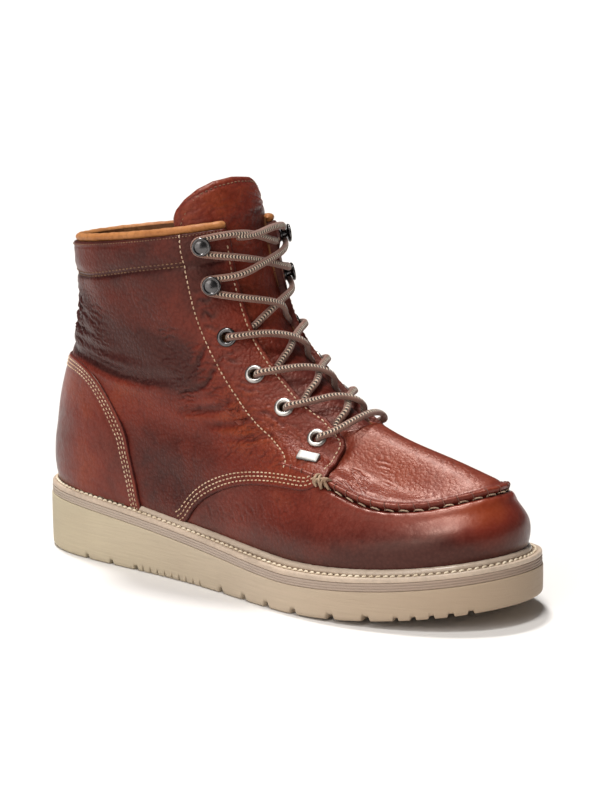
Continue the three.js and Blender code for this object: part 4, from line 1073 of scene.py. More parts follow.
def binding():
    th = _bt
    C, n = form(th, TOP), normal(th, TOP)
    up = unit(form(th, TOP) - form(th, TOP - 0.1))
    C = C + up * -0.75 + n * -0.75
    k = 18
    a = np.linspace(0, 2 * PI, k, endpoint=False)
    s = np.r_[0, np.cumsum(np.linalg.norm(np.diff(C, axis=0), axis=1))]
    e = np.clip(np.minimum(s, s[-1] - s) / 2.2, 0, 1)
    sc = np.sqrt(1 - (1 - e) ** 2) * 0.97 + 0.03
    w = 1 + 0.035 * np.sin(s * 0.9) + 0.03 * np.sin(s * 0.37 + 1)
    V = C[:, None] + n[:, None] * (2.55 * np.cos(a)[None] * sc[:, None] * w[:, None])[..., None] + up[:, None] * (2.15 * np.sin(a)[None] * sc[:, None] * w[:, None])[..., None]
    F = grid_faces(len(th), k, wrap_v=True).tolist()
    F += [list(range(k))[::-1], list(range((len(th) - 1) * k, len(th) * k))]
    mesh("collar_binding_roll", V.reshape(-1, 3), F, M_BINDING, node="collar_binding", slot="binding_leather")
    return moved(np.stack([th, np.full(len(th), float(TOP))], 1), up * -3.9)


BIND_ROW = binding()

# ---------------------------------------------------------------- tongue
TONGUE = [(6.9, 33), (8, 37), (10, 45), (12, 53), (14, 58)]
TONGUE_TOP = [(0, 23.5), (0.35, 22.6), (0.6, 19.8), (0.8, 15.5), (0.93, 10.5), (1, 5)]
N_BODY, N_RISE = 96, 34


def tongue_mid(a, w):
    """Middle of the tongue: a across from -1 to 1, w 0 to 1 along the part under the laces, 1 to 2 above the collar."""
    a, w = np.broadcast_arrays(np.asarray(a, float), np.asarray(w, float))
    v = 6.9 + (TOP - 6.9) * np.clip(w, 0, 1)
    half = np.interp(v, [t[0] for t in TONGUE], [t[1] for t in TONGUE])
    d = 4.9 + 1.3 * smooth((v - 11.5) / 2)
    base = skin(PI + a * half * D2R, v, -d)
    s = np.clip(w - 1, 0, 1)
    b = np.abs(a)
    h = s * np.interp(b, [t[0] for t in TONGUE_TOP], [t[1] for t in TONGUE_TOP])
    x = base[..., 0] - 0.36 * h * (1 - 0.45 * b) * (0.72 + 0.28 * s)
    return np.stack([x, base[..., 1] * (1 - 0.05 * s * b), base[..., 2] + 0.93 * h], -1)


def tongue():
    na = 84
    a = np.linspace(-1, 1, na)
    w = np.r_[np.linspace(0, 1, N_BODY), 1 + (np.linspace(0, 1, N_RISE + 1)[1:])]
    A, W = np.meshgrid(a, w, indexing="ij")
    M = tongue_mid(A, W)
    da, dw = np.gradient(M, axis=0), np.gradient(M, axis=1)
    n = unit(np.cross(da, dw))
    thick = 2.3 + 1.15 * smooth((W - 0.55) / 0.4)
    ea = np.abs(A) ** 14
    ew = np.clip(W - 1, 0, 1) ** 9
    rnd = np.sqrt(np.clip(1 - ea, 0, 1)) * np.sqrt(np.clip(1 - ew, 0, 1))
    # distance from the edge, for the stitched border
    edge = np.minimum((1 - np.abs(A)) * np.linalg.norm(M[0] - M[-1], axis=-1)[None] / 2, np.where(W > 1, (2 - W) * 22, 99))
    P = M.reshape(-1, 3)
    cr = Creases()
    r = np.random.default_rng(55)
    for i in range(64):
        a0, w0 = r.uniform(-0.8, 0.8), r.uniform(0.55, 1.8)
        ang, L = r.normal(0, 0.5) + (PI / 2 if r.random() < 0.25 else 0), r.uniform(0.1, 0.3)
        tt = np.linspace(-1, 1, 9)
        line = tongue_mid(np.clip(a0 + L * np.cos(ang) * tt, -0.95, 0.95), np.clip(w0 + 0.30 * L * np.sin(ang) * tt + 0.02 * np.sin(tt * 3 + i), 0.1, 1.92))
        cr.lines.append((line, r.uniform(0.05, 0.14), r.uniform(0.6, 1.0), 0.5))
    bumpy = cr(P).reshape(A.shape) * smooth((edge - 2) / 5)
    bumpy += -0.45 * np.exp(-((edge - 3.4) / 0.9) ** 2) - 0.55 * np.exp(-((A - 0.0) / 0.03) ** 2) * 0
    outer = M + n * (thick * rnd)[..., None] + n * (bumpy * rnd)[..., None]
    inner = M - n * (thick * 0.8 * rnd)[..., None]
    nu, nv = A.shape
    V = np.vstack([outer.reshape(-1, 3), inner.reshape(-1, 3)])
    N = nu * nv
    Fo, Fi = grid_faces(nu, nv), grid_faces(nu, nv)[:, ::-1] + N
    ring = [i * nv for i in range(nu)] + [(nu - 1) * nv + j for j in range(1, nv)] + [i * nv + nv - 1 for i in range(nu - 2, -1, -1)] + [j for j in range(nv - 2, 0, -1)]
    F = Fo.tolist() + Fi.tolist() + [[ring[(i + 1) % len(ring)], ring[i], ring[i] + N, ring[(i + 1) % len(ring)] + N] for i in range(len(ring))]
    # painted shade: darker just above the collar, low down under the laces, in the creases and along the stitch groove,
    # and the inner face darker than the outer; painted light on the creases' banks; lighter towards the top and in a
    # stripe on the lateral side
    collar_shade = -0.7 * np.exp(-((W - 1.08) / 0.16) ** 2) * np.exp(-((A - 0.25) / 0.6) ** 2)
    tone = (0.25 * smooth((W - 1.1) / 0.5) + collar_shade - 0.5 * (1 - smooth((W - 0.3) / 0.5)) + np.clip(bumpy, -0.5, 0.3) + 0.2 * np.exp(-((A + 0.3) / 0.35) ** 2)).ravel()
    ob = mesh("tongue_pad", V, F, M_TONGUE, {"tone": np.r_[tone, tone - 0.5], "grain": np.full(2 * N, 0.95)}, node="tongue", slot="tongue_leather")
    # the row of stitches just inside its edge
    rows = []
    tt = np.linspace(0, 1, 160)
    path_a = np.r_[np.full(40, -0.905), np.linspace(-0.905, 0.905, 160), np.full(40, 0.905)]
    path_w = np.r_[np.linspace(0.75, 1.0, 40), 1 + 0.845 * np.clip(1 - np.abs(np.linspace(-1, 1, 160)) ** 8, 0, 1), np.linspace(1.0, 0.75, 40)]
    Mi = tongue_mid(path_a, path_w)
    e = 0.01
    na_ = unit(np.cross(tongue_mid(path_a + e, path_w) - tongue_mid(path_a - e, path_w), tongue_mid(path_a, path_w + e) - tongue_mid(path_a, path_w - e)))
    th_ = 2.3 + 1.15 * smooth((path_w - 0.55) / 0.4)
    r_ = np.sqrt(np.clip(1 - np.abs(path_a) ** 14, 0, 1)) * np.sqrt(np.clip(1 - np.clip(path_w - 1, 0, 1) ** 9, 0, 1))
    rows.append((Mi + na_ * ((th_ - 0.42) * r_)[:, None], na_))
    place_stitches("tongue_stitches", rows, M_THREAD_C, length=1.9, gap=0.8, rad=0.30)


tongue()


# ---------------------------------------------------------------- stitches
QN = {False: ["quarter_lat"], True: ["quarter_med"]}
rows = []
for flip in (False, True):
    side = mirror if flip else (lambda q: q)
    for off in (2.5, 4.7, 6.9):
        rows.append(row_on(side(beside(LOWER, off)), QN[flip], 0.0, 0.0, 0.5 + off * 0.55))
    both = np.vstack([beside(FRONT[7:], 2.5), beside(THROAT_L[5:-6], 2.4)])
    rows.append(row_on(side(both), QN[flip], 0.0, 1.0, 0.0))
    rows.append(row_on(side(EYESTAY), QN[flip], 0.0, 0, 0.5))
place_stitches("quarter_stitches", rows, M_THREAD, length=2.0, gap=0.7, rad=0.36)

rows = []
for flip in (False, True):
    for off in (2.3, 4.3, 6.3):
        q = beside(COUNTER_EDGE, off)
        q[:, 0] = np.maximum(q[:, 0], 0.0)
        q = mirror(q) if flip else q
        q[:, 0] = np.where(q[:, 0] > PI, q[:, 0] - 2 * PI, q[:, 0])
        rows.append(row_on(q, ["heel_counter_cover"], 0.0, 1.0, 0.0))
place_stitches("counter_stitches", rows, M_THREAD, length=1.8, gap=0.7, rad=0.34)

rows = []
for flip in (False, True):
    q = mirror(COLLAR) if flip else COLLAR
    rows.append(row_on(q, QN[flip], 0.05))
    rows.append(row_on(beside(q, -1.9 if flip else 1.9), QN[flip], 0.0))
place_stitches("collar_stitches", rows, M_THREAD_C, length=1.7, gap=0.9, rad=0.32)
for flip in (False, True):
    m = (BIND_ROW[:, 0] < -0.02) if flip else (BIND_ROW[:, 0] > 0.02)
    q = BIND_ROW[m].copy()
    q[:, 0] = q[:, 0] % (2 * PI)
    place_stitches("binding_stitches_" + ("med" if flip else "lat"), [row_on(q, QN[flip], 0.0, 3, 3)], M_THREAD_C, length=1.0, gap=0.8, rad=0.24, dive=0.3)


# threads over the moc seam
def moc_threads():
    L = SEAM
    P = form(L[:, 0], L[:, 1])
    s = np.r_[0, np.cumsum(np.linalg.norm(np.diff(P, axis=0), axis=1))]
    n, t = normal(L[:, 0], L[:, 1]), unit(np.gradient(P, axis=0))
    w = np.cross(n, t)  # up, over the plug
    first, last = 9.0, s[-1] - 9.0
    cnt = int((last - first) / 7.2)
    Vs, Fs = ([], []), ([], [])
    k = 7
    ang = np.linspace(0, 2 * PI, k, endpoint=False)
    for i in range(cnt + 1):
        c = first + (last - first) * i / cnt
        pc, nc, tc, wc = (np.array([np.interp(c, s, X[:, j]) for j in range(3)]) for X in (P, n, t, w))
        # a thin pull over the lip, then a long thread in the groove
        for which, rad, pts in (
            (0, 0.24, [(-0.9, 3.0, 0.6), (-0.75, 2.3, 1.95), (-0.55, 1.4, 2.33), (-0.3, 0.5, 2.0), (-0.1, -0.2, 0.9), (0.2, -0.7, -0.6)]),
            (1, 0.42, [(-0.4, -0.30, -1.3), (0.2, -0.45, -0.35), (1.8, -0.60, 0.02), (3.6, -0.75, -0.30), (4.2, -0.85, -1.2)]),
        ):
            X = np.array([pc + tc * a + wc * b + nc * h for a, b, h in pts])
            sp = Spline(np.arange(len(X)), X)(np.linspace(0, len(X) - 1, 13))
            T = unit(np.gradient(sp, axis=0))
            S1 = unit(np.cross(T, nc))
            S2 = np.cross(S1, T)
            ring = sp[:, None] + rad * (S1[:, None] * np.cos(ang)[None, :, None] + S2[:, None] * np.sin(ang)[None, :, None])
            f = grid_faces(13, k, wrap_v=True).tolist() + [list(range(k)), list(range(12 * k, 13 * k))[::-1]]
            Fs[which].extend([[q + 13 * k * len(Vs[which]) for q in g] for g in f])
            Vs[which].append(ring.reshape(-1, 3))
    mesh("moc_pulls", np.vstack(Vs[0]), Fs[0], M_THREAD_D)
    mesh("moc_stitches", np.vstack(Vs[1]), Fs[1], M_THREAD_M)


moc_threads()


def bar_tack(side):
    """Cluster of thick threads where the quarter, the wall and the plug meet."""
    med = side == "med"
    r = np.random.default_rng(71 if med else 70)
    q = np.array([[118.0 * D2R, 4.36]])
    if med:
        q = mirror(q)
    pc, nc = form(q[:, 0], q[:, 1])[0], normal(q[:, 0], q[:, 1])[0]
    pa, pb = partials(q[:, 0], q[:, 1])
    e1 = unit(pa)[0] * (-1 if med else 1)
    e2 = unit(pb)[0]
    Vs, Fs, base, k = [], [], 0, 8
    ang = np.linspace(0, 2 * PI, k, endpoint=False)
    for i in range(8):
        a0, tilt = -4.4 + i * 1.25, math.radians((58, 74, 35, 88, 20, 66, 105, 48)[i] + r.normal(0, 5))
        L = (3.4, 4.3, 4.6, 4.2, 4.6, 4.0, 3.2, 2.8)[i]
        pts = []
        for u in (-1, -0.85, -0.45, 0, 0.45, 0.85, 1):
            d = e1 * (a0 * 0.8 + L * u * math.cos(tilt)) + e2 * (0.5 * math.sin(i * 2.1) + L * u * math.sin(tilt) * 0.9)
            pts.append(pc + d + nc * (3.4 - 3.4 * abs(u) ** 3 + 0.5 * (i % 2) + 0.3 * math.sin(3 * u + i)))
        sp = Spline(np.arange(7), np.array(pts))(np.linspace(0, 6, 17))
        T = unit(np.gradient(sp, axis=0))
        S1 = unit(np.cross(T, nc))
        S2 = np.cross(S1, T)
        ring = sp[:, None] + 0.70 * (S1[:, None] * np.cos(ang)[None, :, None] + S2[:, None] * np.sin(ang)[None, :, None])
        Vs.append(ring.reshape(-1, 3))
        f = grid_faces(17, k, wrap_v=True).tolist() + [list(range(k)), list(range(16 * k, 17 * k))[::-1]]
        Fs += [[x + base for x in g] for g in f]
        base += 17 * k
    mesh("bar_tack_" + side, np.vstack(Vs), Fs, M_TACK)


bar_tack("lat")
bar_tack("med")


# ---------------------------------------------------------------- sole
def ring_thetas(xs):
    t = np.clip((np.asarray(xs) + SOLE_LEN / 2) / SOLE_LEN, 0, 1)
    lat = np.arccos(1 - 2 * t)
    return np.r_[lat, (2 * PI - lat[1:-1])[::-1]], len(lat)


def ring_solid(name, xs, levels, mat, cols=5, **kw):
    """A closed solid from rings round the sole's outline; levels are (inset, z of x). Its ends are closed by strips across."""
    th, n = ring_thetas(xs)
    rings = []
    for inset, z in levels:
        p = outline(th, np.full(len(th), float(inset)))
        x0 = outline(th)[:, 0]
        rings.append(np.column_stack([p, z(x0)]))
    m, R = len(th), len(rings)
    V = np.vstack(rings)
    F = []
    for j in range(R - 1):
        a = np.arange(m)
        b = (a + 1) % m
        F += np.stack([j * m + a, j * m + b, (j + 1) * m + b, (j + 1) * m + a], 1).tolist()

    def cap(j, down):
        nonlocal V, F
        base = j * m
        lat = [base + i for i in range(n)]
        med = [base] + [base + m - i for i in range(1, n - 1)] + [base + n - 1]
        grid = [lat]
        for c in range(1, cols):
            u = c / cols
            idx = [lat[0]]
            new = V[lat[1:-1]] * (1 - u) + V[med[1:-1]] * u
            start = len(V)
            V = np.vstack([V, new])
            idx += list(range(start, start + len(new))) + [lat[-1]]
            grid.append(idx)
        grid.append(med)
        for a, b in zip(grid[:-1], grid[1:]):
            for i in range(n - 1):
                f = [a[i], a[i + 1], b[i + 1], b[i]]
                f = [x for k2, x in enumerate(f) if x not in f[:k2]]
                if len(f) > 2:
                    F.append(f[::-1] if down else f)

    cap(0, True)
    cap(R - 1, False)
    return mesh(name, V, F, mat, **kw)


BIG = [(-104.8, 2.6), (-85.7, 2.6), (-67.1, 2.8)]
FWD = [(-1.2, 3.0), (17.4, 3.2), (35.2, 3.2), (54.4, 3.2), (77.4, 3.4), (96.7, 3.2)]
TOE = [(111.6, 2.2), (119.6, 2.2), (127.6, 2.2), (135.4, 2.2), (142.6, 2.0)]
FINE = [(-61.5 + 5.5 * i, 0.9) for i in range(9)]
GROOVES = [(x, w * 1.15, 2.3) for x, w in BIG] + [(x, w * 1.25, 2.4) for x, w in FWD] + [(x, w * 1.1, 1.7) for x, w in TOE] + [(x, w * 1.3, 2.2) for x, w in FINE]
_xs = [-SOLE_LEN / 2 + SOLE_LEN * (1 - math.cos(a)) / 2 for a in np.linspace(0, PI, 210)]
for x, w, d in GROOVES:
    _xs += [x + w / 2 * u for u in (-1.25, -1.0, -0.8, -0.4, 0, 0.4, 0.8, 1.0, 1.25)]
_xs = np.array(sorted(_xs))
_xs = _xs[np.r_[True, np.diff(_xs) > 0.03]]
_xs[-1] = SOLE_LEN / 2


def groove(x):
    out = np.zeros_like(x)
    for c, w, d in GROOVES:
        out = np.maximum(out, d * (1 - smooth((np.abs(x - c) / (w / 2) - 0.75) / 0.45)))
    return out


def lug(x):
    """Bottom of the side wall: the lugs between the forward notches are a little scalloped."""
    out = np.zeros_like(x)
    for (a, _), (b, _) in zip(FWD[:-1], FWD[1:]):
        u = np.clip((x - a) / (b - a), 0, 1)
        out += np.where((x > a) & (x < b), 0.9 * (np.abs(2 * u - 1)) ** 5, 0)
    return out


def zb(dz):
    return lambda x: sole_bottom(x) + groove(x) + lug(x) + dz


def zt(dz):
    return lambda x: sole_top(x) - 4.15 + dz


lv = [(7.0, lambda x: sole_bottom(x) + groove(x)), (2.2, lambda x: sole_bottom(x) + groove(x)), (1.1, zb(0.22)), (0.45, zb(0.75)), (0.1, zb(1.5)), (0.0, zb(2.4))]
for u in np.linspace(0.1, 0.92, 9):
    lv.append((0.0 - 0.10 * math.sin(u * PI), (lambda u: lambda x: (zb(2.4)(x)) * (1 - u) + zt(-0.3)(x) * u)(u)))
lv += [(0.0, zt(-0.45)), (0.22, zt(-0.1)), (0.9, zt(0.05)), (6.0, zt(0.05))]
ring_solid("outsole_wedge", _xs, lv, M_SOLE, node="outsole", slot="outsole_crepe")

_xm = np.array([-SOLE_LEN / 2 + SOLE_LEN * (1 - math.cos(a)) / 2 for a in np.linspace(0, PI, 230)])
lv = [(6.0, zt(0.06)), (1.4, zt(0.06))]
for u in np.linspace(0, 1, 31):
    ridge = abs(math.sin(PI * 3 * u)) ** 0.6
    lv.append((0.78 - 0.42 * ridge, (lambda u: lambda x: zt(0.12)(x) + 4.0 * u)(u)))
lv += [(1.4, lambda x: sole_top(x) + 0.02), (6.0, lambda x: sole_top(x) + 0.02)]
ring_solid("midsole_ribs", _xm, lv, M_MID, cols=3, node="midsole", slot="midsole_strip")


def welt():
    th = np.linspace(0, 2 * PI, 460, endpoint=False)
    ledge = skin(th, np.full(len(th), 0.3), np.full(len(th), 3.3))

    def at(inset, dz):
        p = outline(th, np.full(len(th), inset))
        return np.column_stack([p, sole_top(p[:, 0]) + dz])

    A = at(2.3, 2.95)
    B = np.column_stack([ledge[:, :2], sole_top(ledge[:, 0]) + 2.9])
    room = np.linalg.norm(A[:, :2] - B[:, :2], axis=1)
    inner = skin(th, np.full(len(th), 0.3), np.full(len(th), 0.2))
    inner_t = np.column_stack([inner[:, :2], sole_top(inner[:, 0]) + 2.7])
    inner_b = np.column_stack([inner[:, :2], sole_top(inner[:, 0]) + 0.3])
    e0 = np.array([0.95, 0.62, 0.50, 0.50, 0.58, 0.85, 1.35])
    z0 = [0.15, 0.35, 0.8, 1.6, 2.15, 2.62, 2.9]
    rings = [at(3.0, 0.12)] + [at(e, z) for e, z in zip(e0, z0)]
    # the ledge dips slightly where its stitches lie
    O = at(1.35, 2.9)
    for u, dz in ((0.2, -0.02), (0.4, -0.16), (0.5, -0.22), (0.6, -0.16), (0.8, -0.02), (1.0, 0.0)):
        m = O * (1 - u) + B * u
        m[:, 2] += dz
        rings.append(m)
    rings += [inner_t, inner_b]
    V = np.vstack(rings)
    n, R = len(th), len(rings)
    F = []
    a = np.arange(n)
    b = (a + 1) % n
    for j in range(R):
        k2 = (j + 1) % R
        F += np.stack([j * n + a, j * n + b, k2 * n + b, k2 * n + a], 1).tolist()
    # painted shade: the welt's top darkened along its stitch channel and under the bead
    dark = np.concatenate([np.full(n, x) for x in [0] * 8 + [0.35, 0.8, 0.9, 0.8, 0.5, 0.9] + [0.9, 0.9]])
    mesh("welt_strip", V, F, M_WELT, {"dark": dark}, node="welt", slot="welt_leather")
    S = O * 0.5 + B * 0.5
    S[:, 2] += 0.02
    out = unit(O - B)
    nn = unit(np.array([0, 0, 1.0]) + out * 0.25)
    S, nn = np.vstack([S, S[:2]]), np.vstack([nn, nn[:2]])
    place_stitches("welt_stitches", [(S, nn)], M_THREAD_W, length=3.0, gap=0.75, rad=0.72, slant=11, dive=0.65)
    # rolled bead between the upper and the welt, one closed loop here; on the boot it is joined with a butt at the
    # waist
    c = skin(th, np.full(len(th), 0.47), np.full(len(th), 1.35))
    c[:, 2] = sole_top(c[:, 0]) + 4.25
    tube("welt_bead", c, np.array([0, 0, 1.0]), 2.0, 1.85, M_BEAD, k=18, closed=True, attrs=False, slot="welt_leather",
         wob=lambda s, a_: 0.05 * np.sin(s * 0.8) + 0.03 * np.sin(s * 2.1 + 1))


welt()


def insole():
    th = np.linspace(0, 2 * PI, 240, endpoint=False)
    rings = []
    for d, h in ((-3.2, 0.5), (-3.2, 2.3), (-3.8, 3.1), (-5.0, 3.3), (-12.0, 2.9), (-22.0, 2.75)):
        p = skin(th, np.full(len(th), 0.02), np.full(len(th), d)) if d > -13 else None
        if p is None:
            q = skin(th, np.full(len(th), 0.02), np.full(len(th), -12.0))
            p = q * np.array([0.9, 0.62, 1.0])
        rings.append(np.column_stack([p[:, :2], sole_top(p[:, 0]) + h]))
    V = np.vstack(rings)
    n, R = len(th), len(rings)
    a = np.arange(n)
    b = (a + 1) % n
    F = []
    for j in range(R - 1):
        F += np.stack([j * n + a, j * n + b, (j + 1) * n + b, (j + 1) * n + a], 1).tolist()
    for base, down in ((0, True), ((R - 1) * n, False)):
        for i in range(n // 2):
            f = [base + i, base + i + 1, base + (n - i - 1) % n, base + (n - i) % n]
            f = [x for k2, x in enumerate(f) if x not in f[:k2]]
            if len(f) > 2:
                F.append(f[::-1] if down else f)
    mesh("insole_bed", V, F, M_INSOLE, node="insole", slot="insole_leather")


insole()


# ---------------------------------------------------------------- metal fittings
def frame_at(th, v, h):
    q = np.array([[th * D2R, v]])
    n = normal(q[:, 0], q[:, 1])[0]
    c = form(q[:, 0], q[:, 1])[0] + n * h
    e1 = unit(np.cross(n, np.array([0, 0, 1.0])))
    return c, n, e1, np.cross(n, e1)


def lathe(name, profile, fr, mat, closed, seg=40, node=(), slot=None):
    c, n, e1, e2 = fr
    a = np.linspace(0, 2 * PI, seg, endpoint=False)
    V = np.array([c + n * h + r * (e1 * math.cos(x) + e2 * math.sin(x)) for r, h in profile for x in a])
    m = len(profile)
    F = grid_faces(m, seg, wrap_u=closed, wrap_v=True)
    if not closed:
        F = F.tolist() + [list(range(seg)), list(range((m - 1) * seg, m * seg))[::-1]]
    else:
        F = F.tolist()
    vol_up = profile[0][1] < profile[-1][1]
    return mesh(name, V, [f[::-1] for f in F] if not closed else F, mat, node=node, slot=slot)


RIM = [(2.45, -2.6), (2.45, -0.4), (2.52, 0.15), (2.75, 0.62), (3.15, 0.98), (3.6, 1.12), (4.1, 1.05), (4.6, 0.80), (4.95, 0.42), (5.08, -0.05), (4.9, -0.35), (2.85, -0.45), (2.8, -2.6)]
DOME = [(3.6, -0.3), (4.0, -0.1), (4.0, 0.45), (3.6, 0.75), (2.2, 0.95), (1.9, 1.3), (1.85, 3.7), (2.3, 4.15), (4.1, 4.2), (4.65, 4.42), (4.85, 4.85), (4.75, 5.35), (4.4, 5.68), (3.95, 5.72), (3.6, 5.5), (3.4, 5.12), (3.15, 5.1), (2.6, 5.42), (1.8, 5.68), (1.0, 5.8), (0.3, 5.83)]


def qh(th, v):
    """Height of the quarter's surface round a fitting, holes left out."""
    r = 5.4
    q0 = np.array([[th * D2R, v]])
    pa, pb = partials(q0[:, 0], q0[:, 1])
    qs = np.vstack([moved(q0, (unit(pa) * math.cos(a) + unit(pb) * math.sin(a)) * r) for a in (0.4, 2.0, 3.5, 5.1)])
    return float(np.mean(height_on(qs, ["quarter_med" if th > 180 else "quarter_lat"], 1.8)))


for i, (a, v) in enumerate(EYELETS):
    for side in ("lat", "med"):
        th = a if side == "lat" else 360 - a
        lathe(f"eyelet_{side}_{i + 1}_ring", RIM, frame_at(th, v, qh(th, v) + 0.05), (M_EYELET, M_EYELET, M_EYELET3, M_HOOK)[i], True, node=f"eyelet_{side}_{i + 1}", slot="eyelet_metal")
for i, (a, v) in enumerate(HOOKS):
    for side in ("lat", "med"):
        th = a if side == "lat" else 360 - a
        lathe(f"hook_{side}_{i + 5}_dome", DOME, frame_at(th, v, qh(th, v) + (0.1 if i == 0 else 0.9)), M_HOOK, False, node=f"hook_{side}_{i + 5}", slot="hook_metal")


def plate():
    q = np.array([[119.9, 6.38], [132.0, 6.97], [120.5, 5.66], [114.5, 5.67]]) * np.array([D2R, 1.0])
    K = skin(q[:, 0], q[:, 1], 3.0)
    c, n = K.mean(0), unit(normal(q[:, 0], q[:, 1]).mean(0))
    u = unit(K[1] + K[2] - K[0] - K[3])
    u = unit(u - n * (u @ n))
    w = np.cross(n, u)
    half_l, half_h = 5.8, 3.0
    qc = np.array([[122.0 * D2R, 6.18]])
    c = skin(qc[:, 0], qc[:, 1], height_on(qc, ["quarter_lat"], 1.6))[0] - n * 0.1
    rows_ = []
    for sc, h in ((0.0, 0.0), (0.35, 0.9), (0.75, 1.12), (1.1, 1.2)):
        L, H, r = half_l - sc * 0.5, half_h - sc * 0.5, max(0.25, 0.9 - sc * 0.4)
        pts = []
        for cx, cy, a0 in ((L - r, H - r, 0), (-(L - r), H - r, 90), (-(L - r), -(H - r), 180), (L - r, -(H - r), 270)):
            for k in range(6):
                x = math.radians(a0 + 18 * k)
                pts.append(c + u * (cx + r * math.cos(x)) + w * (cy + r * math.sin(x)) + n * h)
        rows_.append(np.array(pts))
    # a slightly bowed face
    m = len(rows_[0])
    top = rows_[-1]
    cen = top.mean(0)
    rows_.append(cen + (top - cen) * 0.5 + n * 0.06)
    V = np.vstack(rows_ + [[cen + n * 0.08]])
    F = []
    for j in range(len(rows_) - 1):
        F += [[j * m + i, j * m + (i + 1) % m, (j + 1) * m + (i + 1) % m, (j + 1) * m + i] for i in range(m)]
    last = (len(rows_) - 1) * m
    F += [[last + i, last + (i + 1) % m, len(V) - 1] for i in range(m)]
    F.append(list(range(m))[::-1])
    mesh("side_plate_face", V, F, M_PLATE, node="side_plate", slot="plate_metal")


plate()

# ---------------------------------------------------------------- lace
E = [(180 - a, v) for a, v in EYELETS]
H = [(180 - a, v) for a, v in HOOKS]
LW, LH = 1.95, 1.45


def strand(name, st, node=(), step=0.55):
    """st: (angle from the ridge with lateral negative, v, height) or ready points."""
    pts, ups = [], []
    for s in st:
        if len(s) == 3:
            th = PI + s[0] * D2R
            q = (np.array([th]), np.array([float(s[1])]))
            n = normal(*q)[0]
            pts.append(form(*q)[0] + n * s[2])
            ups.append(n)
        else:
            pts.append(np.array(s[3:6]))
            ups.append(np.array(s[6:9]))
    P, U = np.array(pts), np.array(ups)
    c = np.r_[0, np.cumsum(np.linalg.norm(np.diff(P, axis=0), axis=1) ** 0.7)]
    sp, su = Spline(c, P), Spline(c, U)
    t = np.linspace(0, c[-1], 900)
    X = sp(t)
    s = np.r_[0, np.cumsum(np.linalg.norm(np.diff(X, axis=0), axis=1))]
    t2 = np.interp(np.arange(0, s[-1], step), s, t)
    X = sp(t2)
    up = unit(np.stack([np.interp(t2, c, U[:, k]) for k in range(3)], 1))
    # near a hole the cord runs along the normal: keep its flat side steady
    T = unit(np.gradient(X, axis=0))
    along = np.abs((T * up).sum(1)) > 0.85
    if along.any():
        good = np.flatnonzero(~along)
        side = unit(np.cross(T[good], up[good]))
        idx = np.abs(np.flatnonzero(along)[:, None] - good[None]).argmin(1)
        sd = side[idx]
        up[along] = unit(np.cross(sd, T[along]))
    return tube(name, X, up, LW, LH, M_LACE, k=14, node=node, slot="lace_textile", power=2.2,
                wob=lambda s_, a_: 0.07 * np.cos(2 * PI * (s_ / 1.05 + 1.15 * np.abs(np.cos(a_)) / 1.05)))


def into(n, s):
    """The last points of a strand that goes down through eyelet n on side s."""
    a, v = s * E[n][0], E[n][1]
    top = qh(180 + a, v)
    return [(a - s * 5.6, v - 0.01, top + 2.9), (a - s * 2.6, v, top + 1.9), (a - s * 0.9, v, top - 0.5), (a - s * 0.6, v, -1.6)]


bar_in = into(0, 1)
left = [(-x, y, z) for x, y, z in bar_in[::-1]]
strand("lace_bar_cord", left + [(-E[0][0] * 0.52, E[0][1] - 0.015, 5.6), (-3, E[0][1] - 0.03, 4.6), (8, E[0][1] - 0.03, 4.7), (E[0][0] * 0.58, E[0][1] - 0.015, 5.4)] + bar_in, node="lace_bar")
for n in range(3):
    for s in (1, -1):
        over = s == -1
        # s is the side of the eyelet it goes into; it comes out from under the other quarter
        e0, e1 = E[n], E[n + 1]
        v0 = e0[1] + 0.10
        mid = (e0[1] + e1[1]) / 2
        st = [(-s * (e0[0] - 3), v0 - 0.02, -2.0), (-s * 20, v0 + 0.10, -2.1), (-s * 14.5, v0 + 0.22, -1.2), (-s * 8, mid - 0.10, 0.9 if not over else 2.8),
              (0, mid + 0.12, 1.1 if not over else 4.0), (s * 9, mid + 0.32, 2.0 if not over else 4.2), (s * e1[0] * 0.52, e1[1] - 0.06, 4.2)]
        strand(f"lace_cross_{n + 1}_{'med' if s > 0 else 'lat'}", st + into(n + 1, s), node=f"lace_cross_{n + 1}" if s > 0 else ())


def hook_turn(k, s):
    a, v = H[k]
    th = 180 + s * a
    q = (np.array([th * D2R]), np.array([v]))
    n = normal(*q)[0]
    base = qh(th, v) + (0.1 if k == 0 else 0.9)
    c = form(*q)[0] + n * (base + 2.45)
    pa, pb = partials(*q)
    w, u = unit(pa)[0], unit(pb)[0]
    R = 1.85 + LH + 0.2
    out = []
    for deg in (-80, -48, -10, 28, 62, 84):
        r = math.radians(deg)
        p = c + u * (R * math.sin(r)) + w * (s * R * math.cos(r))
        out.append((0, 0, 0, *p, *n))
    return out


for s in (1, -1):
    over = s == -1
    hi = 1.5 if over else 0.0
    st = [(-s * (E[3][0] - 3), E[3][1] + 0.08, -2.0), (-s * 21, 11.42, -2.0), (-s * 13.5, 11.55, -1.0), (-s * 4, 11.72, 1.4 + hi), (s * 8, 11.92, 2.4 + hi), (s * 22, 12.12, 4.2), *hook_turn(0, s),
          (s * 24, 12.66, 5.2), (s * 9, 12.80, 3.6 + hi), (-s * 7, 12.98, 3.4 + hi), (-s * 22, 13.12, 5.4), *hook_turn(1, -s)]
    if over:
        st += [(-s * 24, 13.72, 5.4), (-s * 8, 13.70, 4.4), (s * 8, 13.60, 4.6), (s * 19, 13.62, 4.8)]
    else:
        st += [(-s * 24, 13.70, 5.4), (-s * 6, 13.62, 3.6), (s * 10, 13.42, 3.2), (s * 20, 13.34, 3.0)]
    strand(f"lace_hooks_{'med' if s > 0 else 'lat'}", st, node="lace_hooks" if s > 0 else ())

